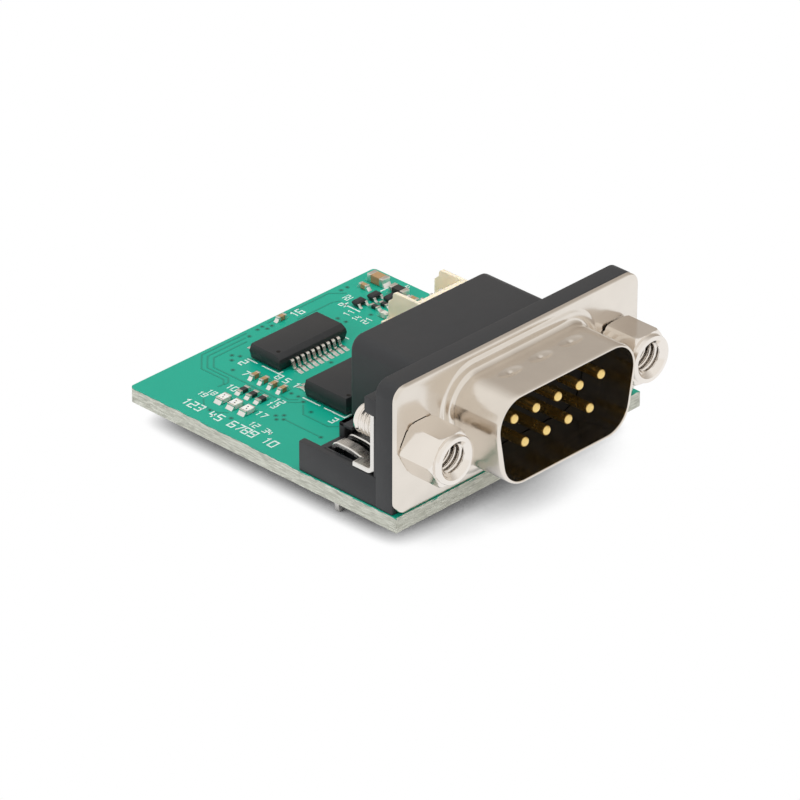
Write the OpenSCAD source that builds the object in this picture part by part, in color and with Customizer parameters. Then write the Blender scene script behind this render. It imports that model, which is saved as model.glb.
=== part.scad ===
// Adapter module: a circuit board that carries a right-angle nine-pin plug with its ground clips
// and jackscrews, two chips, a small wire header and the parts around them.
// Millimetres. The origin is the centre of the plug, on the front face of its metal flange.
// X runs to the right as seen from the front, Y back over the board and Z up.

/* [Circuit board] */
// Thickness of the board
board_t = 1.5; // [1.2:0.1:2]
// How much wider the board is than the flange, on each side
board_side = 0.25; // [0.2:0.05:1]
// How far the board's middle lies to the right of the plug's
board_shift = 0.2; // [0:0.05:0.2]
// How far the board stands out in front of the flange
board_lip = 0.1; // [0:0.05:1]
// Radius of the rear corners
board_corner_r = 0.4; // [0.2:0.1:2]
// How far the soldered tails stand out below the board
tail_below = 2.1; // [1:0.1:3]
// Free board between the box and the leads of the transceiver chip
front_space = 2.2; // [2:0.1:4]
// Free board between the leads of the two chips
chip_space = 2.3; // [2:0.1:4]
// Free board behind the leads of the converter chip
rear_space = 2.9; // [2.8:0.1:5]

/* [Plug shell] */
// How much wider the flange is than the distance between the jackscrews
flange_margin = 5.81; // [5.6:0.01:6.2]
// Height of the flange
flange_h = 12.5; // [12.3:0.1:13.5]
// Corner radius of the flange
flange_r = 1.3; // [1:0.1:2.4]
// Thickness of the metal flange
flange_t = 0.45; // [0.3:0.05:0.6]
// Inner width of the plug mouth
mouth_w = 16.92; // [16.6:0.02:17.2]
// Inner height of the plug mouth
mouth_h = 8.36; // [8.2:0.02:8.5]
// Inner corner radius of the plug mouth
mouth_r = 2.6; // [2.2:0.1:3]
// Slope of the two sides of the mouth, in degrees
mouth_slope = 10; // [8:1:12]
// How far the hood stands out in front of the flange
hood_l = 5.85; // [5.4:0.05:6.5]
// Wall of the hood
hood_t = 0.35; // [0.3:0.05:0.45]
// Radius of the drawn root between hood and flange
root_r = 0.5; // [0.3:0.05:0.7]
// Depth of the spring dimples in the top of the hood
dimple_depth = 0.22; // [0.1:0.02:0.3]

/* [Contacts] */
// Distance between neighbouring pins of a row
pin_pitch = 2.77; // [2.7:0.01:2.8]
// Distance between the two rows
row_gap = 2.84; // [2.6:0.02:2.9]
// Diameter of a pin
pin_d = 1; // [0.9:0.02:1.04]
// How far the pins stand out in front of the flange
pin_reach = 4.88; // [4:0.05:5.2]
// Diameter of a solder tail
tail_d = 0.7; // [0.5:0.05:0.8]
// Distance of the front row of tails behind the flange
tail_front = 7.2; // [7.1:0.05:7.5]

/* [Housing] */
// Where the moulded flange ends
moulding_back = 2.5; // [2.3:0.05:2.6]
// How much wider the rear box is than the plug mouth, on each side
box_side = 0.39; // [0.3:0.01:0.6]
// Wall at the rear of the box
box_wall = 0.8; // [0.6:0.05:1.2]
// Height of the box above the plug centre
box_top = 4.4; // [4.2:0.05:4.8]
// Radius along the long top edges of the box
box_r = 1.3; // [0.6:0.1:1.8]
// Room between the stud of a jackscrew and the top of the arm below it
stud_room = 1.88; // [1.7:0.02:2]
// Where the outer walls of the arms end
arm_back = 11.9; // [11.6:0.1:12.4]

/* [Ground clips] */
// Thickness of the clip sheet
clip_t = 0.5; // [0.4:0.05:0.5]
// Gap between the rear box and the clip
clip_gap = 0.85; // [0.6:0.05:1.2]
// Width of each of its two strips
strip_w = 1.2; // [1:0.05:1.2]
// Width of a prong
prong_w = 0.8; // [0.6:0.05:1]
// Clearance between the prongs and their board hole
lock_fit = 0.09; // [0.05:0.01:0.2]

/* [Jackscrews] */
// How much farther apart the jackscrews are than the mouth is wide
screw_margin = 8.07; // [8:0.01:8.2]
// Size of the hexagon across its flats
hex_af = 4.75; // [4.6:0.05:5]
// Length of the hexagon
hex_l = 3.9; // [3.6:0.1:5]
// Length of the round nose in front of the hexagon
nose_l = 0.5; // [0.3:0.05:0.8]
// Diameter over the thread of the stud
thread_d = 2.84; // [2.8:0.02:2.9]
// Diameter inside the thread of the hole in the nose
tapped_d = 2.3; // [2.2:0.02:2.4]
// Where the stud ends behind the flange
stud_back = 7; // [6:0.1:7.2]

/* [Chips and header] */
// Body of the converter chip beyond the middle of its outer leads
converter_end = 1.4; // [1:0.05:1.5]
// Depth of the converter chip body
converter_d = 3.9; // [3.8:0.05:4]
// Body of the transceiver chip beyond the middle of its outer leads
transceiver_end = 0.875; // [0.7:0.005:1]
// Depth of the transceiver chip body
transceiver_d = 5.3; // [5.2:0.05:5.4]
// Distance between neighbouring leads
lead_pitch = 0.65; // [0.6:0.01:0.66]
// Header housing beyond the middle of its outer pins
header_end = 1.35; // [1.2:0.05:1.6]
// Depth of the header housing
header_d = 4.1; // [4:0.1:4.4]
// Height of the header housing above the board
header_h = 4.35; // [4:0.05:5]
// Distance between neighbouring header pins
header_pitch = 1.25; // [1.2:0.01:1.27]

/* [Hidden] */
$fn = 48;
eps = 0.01;

// Widths that follow the plug mouth
screw_gap = mouth_w + screw_margin;
screw_x = screw_gap / 2;
flange_w = screw_gap + flange_margin;
half_w = flange_w / 2;
box_w = mouth_w + 2 * box_side;

// Sides and levels of the board
board_left = board_shift - half_w - board_side;
board_right = board_shift + half_w + board_side;
board_top = -flange_h / 2;
board_bottom = board_top - board_t;
tail_end = board_bottom - tail_below;

// Plug shell
shell_w = mouth_w + 2 * hood_t;
shell_h = mouth_h + 2 * hood_t;
shell_r = mouth_r + hood_t;
screw_hole_d = thread_d + 0.2;
arc_steps = 8;
root_seat = 0.15;
dimple_ball_r = 1.1;
dimple_y = -2.4;
dimple_xs = [-3.7, 0.15, 4];

// Insert that holds the pins in the mouth
insert_fit = 0.05;
insert_front = -0.1;
insert_back = 1.45;
insert_lip = 0.8;

// Contacts: the five upper pins take the rear row of holes, the four lower ones the front row
pin_tip_r = 0.35;
upper_pins = 5;
lower_pins = 4;
tail_rear = tail_front + row_gap;
shaft_back = tail_front - 2.2;
bend_r = 1;
tail_hole_d = tail_d + 0.3;

// Housing: the bores end in a chamber that is open to the board
chamber_room = 1.31;
chamber_w = (upper_pins - 1) * pin_pitch + tail_d + 2 * chamber_room;
chamber_back = tail_rear + tail_d / 2 + 0.81;
chamber_top = box_top - 1.2;
box_back = chamber_back + box_wall;
box_rear_r = 0.4;
lock_y = tail_front + row_gap / 2;
arm_top = -thread_d / 2 - stud_room;
arm_wall = 0.8;
shelf_back = lock_y + 1.25;
land_t = 0.3;
block_x = screw_x - 0.095;
block_front = lock_y - 0.32;
block_back = lock_y + 1.28;
block_top = arm_top + 1.5;
lug_bottom = 2.7;
lug_top = 4.3;
lug_back = moulding_back + 1.4;
lug_inner = box_w / 2 + 0.15;

// Ground clips: a plate behind the moulded flange, a foot on the arm and two strips that
// rise a little, curl over and go down through the board as prongs
clip_front = moulding_back + land_t;
clip_outer = half_w - 0.1;
clip_inner = box_w / 2 + clip_gap;
clip_top = 2.66;
strip_edges = [screw_x + 1.78 - strip_w, screw_x - 0.14 - strip_w];
strip_rise = 0.3;
curl_r = 0.9;
prong_back = lock_y + 0.38;
strip_rise_end = prong_back - 2;
foot_back = prong_back - 3.65;
prong_shift = [-0.12, -0.2];
prong_tip_w = 0.3;
prong_taper = 0.4;
slot_gap = 0.2;
slot_front = foot_back + 0.55;
slot_back = prong_back + slot_gap;
lock_offsets = [for (i = [0, 1]) strip_edges[i] + strip_w / 2 + prong_shift[i] - screw_x];
lock_reach_x = max([for (offset = lock_offsets) abs(offset)]) + prong_w / 2;
lock_reach_y = max(prong_back - lock_y, lock_y - prong_back + clip_t);
lock_hole_d = 2 * (norm([lock_reach_x, lock_reach_y]) + lock_fit);

// Jackscrews
hex_r = hex_af / 2 / cos(30);
hex_bevel = 0.3;
nose_r = hex_af / 2 - 0.125;
nose_bevel = 0.15;
thread_depth = hex_l + nose_l - 0.4;
sink_r = thread_d / 2 + 0.28;
stud_tip_r = thread_d / 2 - 0.37;
stud_bevel = 0.4;

// Chips: the leads leave the body at its parting line
chip_gap = 0.1;
chip_draft = 0.12;
lead_t = 0.15;
lead_w = 0.25;
lead_shoulder = 0.25;
transceiver_h = 1.75;
transceiver_lead_count = 14;
transceiver_w = (transceiver_lead_count - 1) * lead_pitch + 2 * transceiver_end;
transceiver_reach = 1.25;
transceiver_bevel = [0, 0];
transceiver_at = [-0.75, box_back + front_space + transceiver_reach + transceiver_d / 2];
transceiver_back = transceiver_at[1] + transceiver_d / 2 + transceiver_reach;
converter_h = 1.55;
converter_lead_count = 10;
converter_w = (converter_lead_count - 1) * lead_pitch + 2 * converter_end;
converter_reach = 1.05;
converter_bevel = [0.45, 0.35];
converter_at = [0, transceiver_back + chip_space + converter_reach + converter_d / 2];

// Ends of the board, which the chips set
board_back = converter_at[1] + converter_d / 2 + converter_reach + rear_space;
board_l = board_lip + board_back;

// Header: a box that is open at the top and the rear, with a foot at each end
header_inset = 1.45;
header_pins = 4;
header_w = (header_pins - 1) * header_pitch + 2 * header_end;
header_left = board_right - header_inset - header_w;
header_front = box_back + 7.6;
header_wall = 0.4;
header_front_wall = 0.7;
header_floor = 1.2;
header_foot_w = 0.95;
header_foot_d = 1.3;
header_foot_h = 1.5;
header_notch = 0.55;
header_pin_t = 0.4;
header_pin_top = 3.2;
header_pin_y = header_front + 2.3;
header_hole_d = 0.7;

// Small parts, placed from the sides and the rear of the board: sizes as [length, width, height]
function from_left(x, y) = [board_left + x, board_back - y];
function from_right(x, y) = [board_right - x, board_back - y];
chip_size = [1, 0.5, 0.5];
capacitor_pitch = 1.18;
left_capacitors = [for (i = [0:3]) from_left(8.95, 6.9 + i * capacitor_pitch)];
resistor_size = [1.25, 0.6, 0.38];
resistor_pitch = 1.17;
left_resistors = [for (i = [0:2]) from_left(6.43, 7.96 + i * resistor_pitch)];
led_size = [1.7, 0.9, 0.5];
led_pitch = 1.5;
leds = [for (i = [0:2]) from_left(4.02, 7.85 + i * led_pitch)];
filter_capacitor_at = [converter_at[0] + 2.8, board_back - 0.9];
bulk_capacitor_at = from_right(1.75, 2.3);
bulk_capacitor_size = [2, 1.05, 0.85];
side_capacitor_at = from_right(3.45, 2.1);
edge_capacitor_at = from_right(2.15, 7.2);
bead_at = from_right(2.25, 5.4);
bead_size = [1.9, 0.9, 0.9];
rear_resistors = [from_right(5.52, 5.53), from_right(4.6, 5.8)];
rear_resistor_size = [1, 0.5, 0.36];
fuse_at = from_right(6.1, 7.33);
fuse_size = [1, 0.6, 0.55];
transistors = [from_right(6.05, 4), from_right(4.2, 4.15), from_right(3.45, 5.5)];
transistor_size = [1.2, 0.8, 0.6];

// Solid of an outline drawn in X and Z, between two distances behind the flange face
module slab(y_front, y_back) {
    translate([0, y_back, 0])
        rotate([90, 0, 0])
            linear_extrude(y_back - y_front)
                children();
}

// Solid of an outline drawn in Y and Z, between two places along X
module across(x_from, x_to) {
    translate([x_from, 0, 0])
        rotate([90, 0, 90])
            linear_extrude(x_to - x_from)
                children();
}

// Round solid along Y, from its radii drawn against the distance in front of the flange
module turned(x) {
    translate([x, 0, 0])
        rotate([90, 0, 0])
            rotate_extrude()
                children();
}

// Round hole along Y
module bore_y(x, z, d, y_front, y_back) {
    translate([x, y_back, z])
        rotate([90, 0, 0])
            cylinder(d = d, h = y_back - y_front);
}

// Round hole down through the board
module board_hole(x, y, d) {
    translate([x, y, board_bottom - eps])
        cylinder(d = d, h = board_t + 2 * eps);
}

module box(x_range, y_range, z_range) {
    translate([x_range[0], y_range[0], z_range[0]])
        cube([x_range[1] - x_range[0], y_range[1] - y_range[0], z_range[1] - z_range[0]]);
}

// Rectangle with four round corners, centred on the plug
module rounded_rect(w, h, r) {
    square([w - 2 * r, h], center = true);
    square([w, h - 2 * r], center = true);
    for (x = [-1, 1], z = [-1, 1])
        translate([x * (w / 2 - r), z * (h / 2 - r)])
            circle(r);
}

// Rectangle from z_low to z_high with its two upper corners round
module round_topped(w, z_low, z_high, r) {
    translate([-w / 2, z_low])
        square([w, z_high - r - z_low]);
    translate([r - w / 2, z_low])
        square([w - 2 * r, z_high - z_low]);
    for (x = [-1, 1])
        translate([x * (w / 2 - r), z_high - r])
            circle(r);
}

// Corners of the D outline, and the directions in which its four edges face
function d_corners(w, h, r) =
    let (upper = w / 2 - r, lower = upper - (h - 2 * r) * tan(mouth_slope), z = h / 2 - r)
    [[upper, z], [-upper, z], [-lower, -z], [lower, -z]];
d_facing = [-mouth_slope, 90, 180 + mouth_slope, 270];
function polar(r, angle) = [r * cos(angle), r * sin(angle)];

// D outline of the plug: a trapezium with four round corners, the wide side up
function d_points(w, h, r) =
    let (corners = d_corners(w, h, r))
    [
        for (i = [0:3], step = [0:arc_steps])
            let (turn = (d_facing[(i + 1) % 4] - d_facing[i] + 360) % 360)
            corners[i] + polar(r, d_facing[i] + turn * step / arc_steps)
    ];

module d_outline(w, h, r) {
    polygon(d_points(w, h, r));
}

// Drawn root: a hollow quarter round between hood and flange, swept round the D outline and
// seated a little way into both
module d_root(w, h, r, fillet) {
    profile = concat(
        [
            for (step = [0:arc_steps])
                [fillet, fillet] + polar(fillet + 2 * eps, 180 + 90 * step / arc_steps)
        ],
        [[fillet, -root_seat], [-root_seat, -root_seat], [-root_seat, fillet]]
    );
    rings = [
        for (place = profile)
            [for (point = d_points(w + 2 * place[0], h + 2 * place[0], r + place[0])) [point[0], -place[1], point[1]]]
    ];
    around = len(rings[0]);
    function at(ring, point) = (ring % len(rings)) * around + point % around;
    polyhedron(
        points = [for (ring = rings, point = ring) point],
        faces = [
            for (ring = [0:len(rings) - 1], point = [0:around - 1])
                [at(ring, point), at(ring, point + 1), at(ring + 1, point + 1), at(ring + 1, point)]
        ],
        convexity = 4
    );
}

// Plug shell: flange and drawn hood in one sheet, with three dimples in the top of the hood
module plug_shell() {
    color("lightgray")
        difference() {
            union() {
                difference() {
                    union() {
                        slab(0, flange_t)
                            rounded_rect(flange_w, flange_h, flange_r);
                        slab(-hood_l, flange_t)
                            d_outline(shell_w, shell_h, shell_r);
                        d_root(shell_w, shell_h, shell_r, root_r);
                    }
                    slab(-hood_l - eps, flange_t + eps)
                        d_outline(mouth_w, mouth_h, mouth_r);
                }
                intersection() {
                    dimple_balls(dimple_ball_r + hood_t);
                    slab(-hood_l, 0)
                        d_outline(shell_w, shell_h, shell_r);
                }
            }
            dimple_balls(dimple_ball_r);
            for (side = [-1, 1])
                bore_y(side * screw_x, 0, screw_hole_d, -eps, flange_t + eps);
        }
}

module dimple_balls(r) {
    for (x = dimple_xs)
        translate([x, dimple_y, shell_h / 2 + dimple_ball_r - dimple_depth])
            sphere(r);
}

// Insert: fills the mouth behind the pins and is held by its lip between shell and housing
module plug_insert() {
    color("dimgray")
        difference() {
            union() {
                slab(insert_front, flange_t)
                    d_outline(mouth_w - 2 * insert_fit, mouth_h - 2 * insert_fit, mouth_r - insert_fit);
                slab(flange_t, insert_back)
                    d_outline(mouth_w + 2 * insert_lip, mouth_h + 2 * insert_lip, mouth_r + insert_lip);
            }
            contact_bores(insert_front - eps, insert_back + eps);
        }
}

// Place of a contact: the first five are the upper row, the other four the lower row
function is_upper(i) = i < upper_pins;
function row_place(i) = is_upper(i) ? i - (upper_pins - 1) / 2 : i - upper_pins - (lower_pins - 1) / 2;
function contact_x(i) = row_place(i) * pin_pitch;
function contact_z(i) = (is_upper(i) ? 1 : -1) * row_gap / 2;
function contact_tail(i) = is_upper(i) ? tail_rear : tail_front;

module contact_bores(y_front, y_back) {
    for (i = [0:upper_pins + lower_pins - 1])
        bore_y(contact_x(i), contact_z(i), pin_d, y_front, y_back);
}

// Contact: a round pin with a rounded tip, turned down behind into a thinner solder tail
module contact(i) {
    z = contact_z(i);
    tail_y = contact_tail(i);
    color("gold")
        translate([contact_x(i), 0, z]) {
            rotate([90, 0, 0])
                rotate_extrude() {
                    square([pin_d / 2 - pin_tip_r, pin_reach]);
                    square([pin_d / 2, pin_reach - pin_tip_r]);
                    intersection() {
                        translate([pin_d / 2 - pin_tip_r, pin_reach - pin_tip_r])
                            circle(pin_tip_r);
                        square([pin_d / 2, pin_reach]);
                    }
                }
            bore_y(0, 0, pin_d, 0, shaft_back);
            bore_y(0, 0, tail_d, shaft_back, tail_y - bend_r);
            translate([0, tail_y - bend_r, -bend_r])
                rotate([90, 0, 90])
                    rotate_extrude(angle = 90)
                        translate([bend_r, 0])
                            circle(d = tail_d);
            translate([0, tail_y, tail_end - z])
                cylinder(d = tail_d, h = z - bend_r - tail_end);
        }
}

// Housing: moulded flange on two square feet, rear box over the contact tails and two arms for
// the ground clips
module plug_housing() {
    color([0.22, 0.22, 0.23])
        difference() {
            union() {
                slab(flange_t, moulding_back)
                    rounded_rect(flange_w, flange_h, flange_r);
                intersection() {
                    slab(moulding_back, box_back)
                        round_topped(box_w, board_top, box_top, box_r);
                    across(-box_w / 2, box_w / 2)
                        translate([moulding_back, 0])
                            round_rear(box_back - moulding_back, board_top, box_top, box_rear_r);
                }
                arm();
                mirror([1, 0, 0])
                    arm();
            }
            slab(flange_t - eps, insert_back)
                d_outline(mouth_w + 2 * insert_lip, mouth_h + 2 * insert_lip, mouth_r + insert_lip);
            contact_bores(insert_back - eps, shaft_back + eps);
            box([-chamber_w / 2, chamber_w / 2], [shaft_back, chamber_back], [board_top - eps, chamber_top]);
            for (side = [-1, 1])
                bore_y(side * screw_x, 0, screw_hole_d, flange_t - eps, moulding_back + land_t + eps);
        }
}

// Side outline of the box, with its rear upper corner round
module round_rear(depth, z_low, z_high, r) {
    translate([0, z_low])
        square([depth, z_high - r - z_low]);
    translate([0, z_low])
        square([depth - r, z_high - z_low]);
    translate([depth - r, z_high - r])
        circle(r);
}

// Right arm of the housing, with the slots that the prongs of the clip go down through
module arm() {
    difference() {
        union() {
            box([half_w - 2 * flange_r, half_w], [flange_t, moulding_back], [board_top, board_top + 2 * flange_r]);
            box([half_w - arm_wall, half_w], [moulding_back, arm_back], [board_top, arm_top]);
            box([box_w / 2, half_w - arm_wall], [moulding_back, shelf_back], [board_top, arm_top]);
            box([box_w / 2, block_x], [block_front, block_back], [board_top, block_top]);
            box([clip_inner, clip_outer], [moulding_back, clip_front], [arm_top, clip_top]);
            box([lug_inner, half_w], [moulding_back, lug_back], [lug_bottom, lug_top]);
            box([box_w / 2, lug_inner], [moulding_back, lug_back], [arm_top, lug_top]);
        }
        for (edge = strip_edges)
            box(
                [edge - slot_gap, edge + strip_w + slot_gap],
                [slot_front, slot_back],
                [board_top - eps, arm_top + clip_t + strip_rise + slot_gap / 2]
            );
    }
}

// Ground clip on the right: plate, foot and two strips in one folded sheet
module ground_clip() {
    foot_top = arm_top + clip_t;
    curl_y = prong_back - curl_r;
    curl_z = foot_top + strip_rise - curl_r;
    color("silver")
        difference() {
            union() {
                box([clip_inner, clip_outer], [clip_front, clip_front + clip_t], [arm_top, clip_top]);
                box([clip_inner, clip_outer], [clip_front, foot_back], [arm_top, foot_top]);
                for (i = [0, 1])
                    clip_strip(strip_edges[i], prong_shift[i], curl_y, curl_z);
            }
            bore_y(screw_x, 0, thread_d, clip_front - eps, clip_front + clip_t + eps);
        }
}

module clip_strip(x, shift, curl_y, curl_z) {
    foot_top = arm_top + clip_t;
    shoulder_z = board_top + 0.6;
    middle = x + strip_w / 2 + shift;
    across(x, x + strip_w)
        polygon([
            [foot_back - eps, arm_top],
            [foot_back - eps, foot_top],
            [strip_rise_end, foot_top + strip_rise],
            [curl_y, foot_top + strip_rise],
            [curl_y, arm_top + strip_rise],
            [strip_rise_end, arm_top + strip_rise]
        ]);
    translate([x, curl_y, curl_z])
        rotate([90, 0, 90])
            linear_extrude(strip_w)
                intersection() {
                    difference() {
                        circle(curl_r);
                        circle(curl_r - clip_t);
                    }
                    square(curl_r);
                }
    slab(prong_back - clip_t, prong_back)
        polygon([
            [x, curl_z],
            [x + strip_w, curl_z],
            [x + strip_w, shoulder_z + strip_w / 2],
            [middle + prong_w / 2, shoulder_z],
            [middle + prong_w / 2, board_bottom - prong_taper],
            [middle + prong_tip_w / 2, tail_end],
            [middle - prong_tip_w / 2, tail_end],
            [middle - prong_w / 2, board_bottom - prong_taper],
            [middle - prong_w / 2, shoulder_z],
            [x, shoulder_z + strip_w / 2]
        ]);
}

// Jackscrew: hexagon with a threaded hole in front and a threaded stud behind
module jackscrew(side) {
    color("lightgray")
        difference() {
            union() {
                intersection() {
                    translate([side * screw_x, 0, 0])
                        rotate([90, 0, 0])
                            cylinder(r = hex_r, h = hex_l, $fn = 6);
                    turned(side * screw_x)
                        polygon([
                            [0, 0],
                            [hex_af / 2 + hex_bevel / 2, 0],
                            [hex_r, hex_bevel],
                            [hex_r, hex_l - hex_bevel],
                            [hex_af / 2, hex_l],
                            [0, hex_l]
                        ]);
                }
                turned(side * screw_x)
                    polygon([
                        [0, hex_l - eps],
                        [nose_r, hex_l - eps],
                        [nose_r, hex_l + nose_l - nose_bevel],
                        [nose_r - nose_bevel, hex_l + nose_l],
                        [0, hex_l + nose_l]
                    ]);
                turned(side * screw_x)
                    polygon([
                        [0, eps],
                        [thread_d / 2, eps],
                        [thread_d / 2, stud_bevel - stud_back],
                        [stud_tip_r, -stud_back],
                        [0, -stud_back]
                    ]);
            }
            bore_y(side * screw_x, 0, tapped_d, -hex_l - nose_l - eps, thread_depth - hex_l - nose_l);
            turned(side * screw_x)
                polygon([
                    [0, hex_l + nose_l + eps],
                    [sink_r, hex_l + nose_l + eps],
                    [0, hex_l + nose_l - sink_r]
                ]);
        }
}

// Board: two round rear corners, with holes for the tails, the prongs and the header pins
module circuit_board() {
    color([0.27, 0.69, 0.59])
        difference() {
            translate([0, 0, board_bottom])
                linear_extrude(board_t)
                    union() {
                        translate([board_left, -board_lip])
                            square([board_right - board_left, board_l - board_corner_r]);
                        translate([board_left + board_corner_r, -board_lip])
                            square([board_right - board_left - 2 * board_corner_r, board_l]);
                        for (x = [board_left + board_corner_r, board_right - board_corner_r])
                            translate([x, board_back - board_corner_r])
                                circle(board_corner_r);
                    }
            for (i = [0:upper_pins + lower_pins - 1])
                board_hole(contact_x(i), contact_tail(i), tail_hole_d);
            for (side = [-1, 1])
                board_hole(side * screw_x, lock_y, lock_hole_d);
            for (i = [0:header_pins - 1])
                board_hole(header_pin_x(i), header_pin_y, header_hole_d);
        }
}

function header_pin_x(i) = header_left + header_w / 2 + (i - (header_pins - 1) / 2) * header_pitch;

// Header housing: end walls with a stepped outline, a thin front wall and a low rear
module header_housing() {
    back = header_front + header_d;
    top = board_top + header_h;
    inner_left = header_left + header_wall;
    inner_right = header_left + header_w - header_wall;
    color([0.82, 0.77, 0.67])
        difference() {
            union() {
                across(header_left, header_left + header_w)
                    polygon([
                        [header_front, board_top],
                        [back, board_top],
                        [back, top - 1.15],
                        [back - header_notch, top - 0.67],
                        [back - header_notch, top - 0.32],
                        [back - header_notch - 0.32, top],
                        [header_front, top]
                    ]);
                for (x = [header_left - header_foot_w, header_left + header_w - eps])
                    box(
                        [x, x + header_foot_w + eps],
                        [back - header_foot_d, back],
                        [board_top, board_top + header_foot_h]
                    );
            }
            box(
                [inner_left, inner_right],
                [header_front + header_front_wall, back + eps],
                [board_top + header_floor, top + eps]
            );
            for (i = [0:header_pins - 1])
                header_pin_solid(i);
        }
}

module header_pin_solid(i) {
    half = header_pin_t / 2;
    box(
        [header_pin_x(i) - half, header_pin_x(i) + half],
        [header_pin_y - half, header_pin_y + half],
        [tail_end, board_top + header_pin_top]
    );
}

module header_pin(i) {
    color("gold")
        header_pin_solid(i);
}

// Chip body: four sides that slope away from the parting line, and a bevel along one top edge
module chip_body(at, w, d, h, bevel) {
    z_low = board_top + chip_gap;
    z_top = board_top + h;
    z_part = (z_low + z_top) / 2;
    color([0.2, 0.2, 0.21])
        translate([at[0], at[1], 0])
            intersection() {
                across(-w / 2, w / 2)
                    polygon([
                        [chip_draft - d / 2, z_low],
                        [d / 2 - chip_draft, z_low],
                        [d / 2, z_part],
                        [d / 2 - chip_draft, z_top],
                        [chip_draft + bevel[0] - d / 2, z_top],
                        [chip_draft - d / 2, z_top - bevel[1] - eps],
                        [-d / 2, z_part]
                    ]);
                slab(-d / 2, d / 2)
                    polygon([
                        [chip_draft - w / 2, z_low],
                        [w / 2 - chip_draft, z_low],
                        [w / 2, z_part],
                        [w / 2 - chip_draft, z_top],
                        [chip_draft - w / 2, z_top],
                        [-w / 2, z_part]
                    ]);
            }
}

// Leads of one chip: gull wings along both long sides
module chip_leads(at, d, h, count, reach) {
    z_part = board_top + (chip_gap + h) / 2;
    foot = reach / 2;
    color("silver")
        for (side = [0, 1], i = [0:count - 1])
            translate([at[0] + (i - (count - 1) / 2) * lead_pitch, at[1], 0])
                mirror([0, side, 0])
                    across(-lead_w / 2, lead_w / 2)
                        translate([d / 2, 0])
                            polygon([
                                [0, z_part + lead_t / 2],
                                [lead_shoulder, z_part + lead_t / 2],
                                [foot, board_top + lead_t],
                                [reach, board_top + lead_t],
                                [reach, board_top],
                                [foot - lead_t, board_top],
                                [lead_shoulder - lead_t, z_part - lead_t / 2],
                                [0, z_part - lead_t / 2]
                            ]);
}

module converter_body() {
    chip_body(converter_at, converter_w, converter_d, converter_h, converter_bevel);
}

module converter_leads() {
    chip_leads(converter_at, converter_d, converter_h, converter_lead_count, converter_reach);
}

module transceiver_body() {
    chip_body(transceiver_at, transceiver_w, transceiver_d, transceiver_h, transceiver_bevel);
}

module transceiver_leads() {
    chip_leads(transceiver_at, transceiver_d, transceiver_h, transceiver_lead_count, transceiver_reach);
}

// Two-terminal part: a body between two end caps that stand a little proud of it
module end_capped(at, size, turn, tint) {
    cap_l = size[0] * 0.24;
    proud = 0.03;
    color(tint)
        translate([at[0], at[1], board_top])
            rotate(turn) {
                translate([-size[0] / 2 + eps, proud - size[1] / 2, proud])
                    cube([size[0] - 2 * eps, size[1] - 2 * proud, size[2] - 2 * proud]);
                for (x = [-size[0] / 2, size[0] / 2 - cap_l])
                    translate([x, -size[1] / 2, 0])
                        cube([cap_l, size[1], size[2]]);
            }
}

// Three-lead part: a moulded body with two leads in front and one behind
module transistor(at) {
    size = transistor_size;
    color([0.2, 0.2, 0.21])
        translate([at[0], at[1], board_top]) {
            translate([-size[0] / 2, -size[1] / 2, chip_gap])
                cube([size[0], size[1], size[2] - chip_gap]);
            for (lead = [[-0.45, -1], [0.45, -1], [0, 1]])
                translate([lead[0] - lead_w / 2, lead[1] > 0 ? size[1] / 2 - 0.2 : -size[1] / 2 - 0.3, 0])
                    cube([lead_w, 0.5, 2 * lead_t]);
        }
}

circuit_board();
plug_shell();
plug_insert();
plug_housing();
for (i = [0:upper_pins + lower_pins - 1])
    contact(i);
jackscrew(-1);  // jackscrew_left
jackscrew(1);  // jackscrew_right
mirror([1, 0, 0]) ground_clip();  // ground_clip_left
ground_clip();  // ground_clip_right
header_housing();
for (i = [0:header_pins - 1])
    header_pin(i);
converter_body();
converter_leads();
transceiver_body();
transceiver_leads();
for (i = [0:len(left_capacitors) - 1])
    end_capped(left_capacitors[i], chip_size, 0, "tan");
end_capped(filter_capacitor_at, chip_size, 0, "tan");  // filter_capacitor
end_capped(bulk_capacitor_at, bulk_capacitor_size, 90, "tan");  // bulk_capacitor
end_capped(side_capacitor_at, chip_size, 90, "tan");  // side_capacitor
end_capped(edge_capacitor_at, chip_size, 90, "tan");  // edge_capacitor
for (i = [0:len(left_resistors) - 1])
    end_capped(left_resistors[i], resistor_size, 0, "dimgray");
for (i = [0:len(rear_resistors) - 1])
    end_capped(rear_resistors[i], rear_resistor_size, 90, "dimgray");
for (i = [0:len(leds) - 1])
    end_capped(leds[i], led_size, 0, "white");
for (i = [0:len(transistors) - 1])
    transistor(transistors[i]);
end_capped(bead_at, bead_size, 90, "dimgray");  // ferrite_bead
end_capped(fuse_at, fuse_size, 90, "ivory");  // fuse
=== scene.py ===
"""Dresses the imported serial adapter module: its finishes, its fine forms, the light and the camera.

Sizes are in millimetres in the module's own frame and become metres when a mesh is made. The origin
is the centre of the plug on the front face of its flange, X runs right, Y back and Z up.
"""

from __future__ import annotations

import logging
import math
from collections.abc import Callable, Iterable, Sequence
from dataclasses import dataclass, field
from enum import Enum

import bmesh
import bpy
from mathutils import Matrix, Vector

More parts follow.
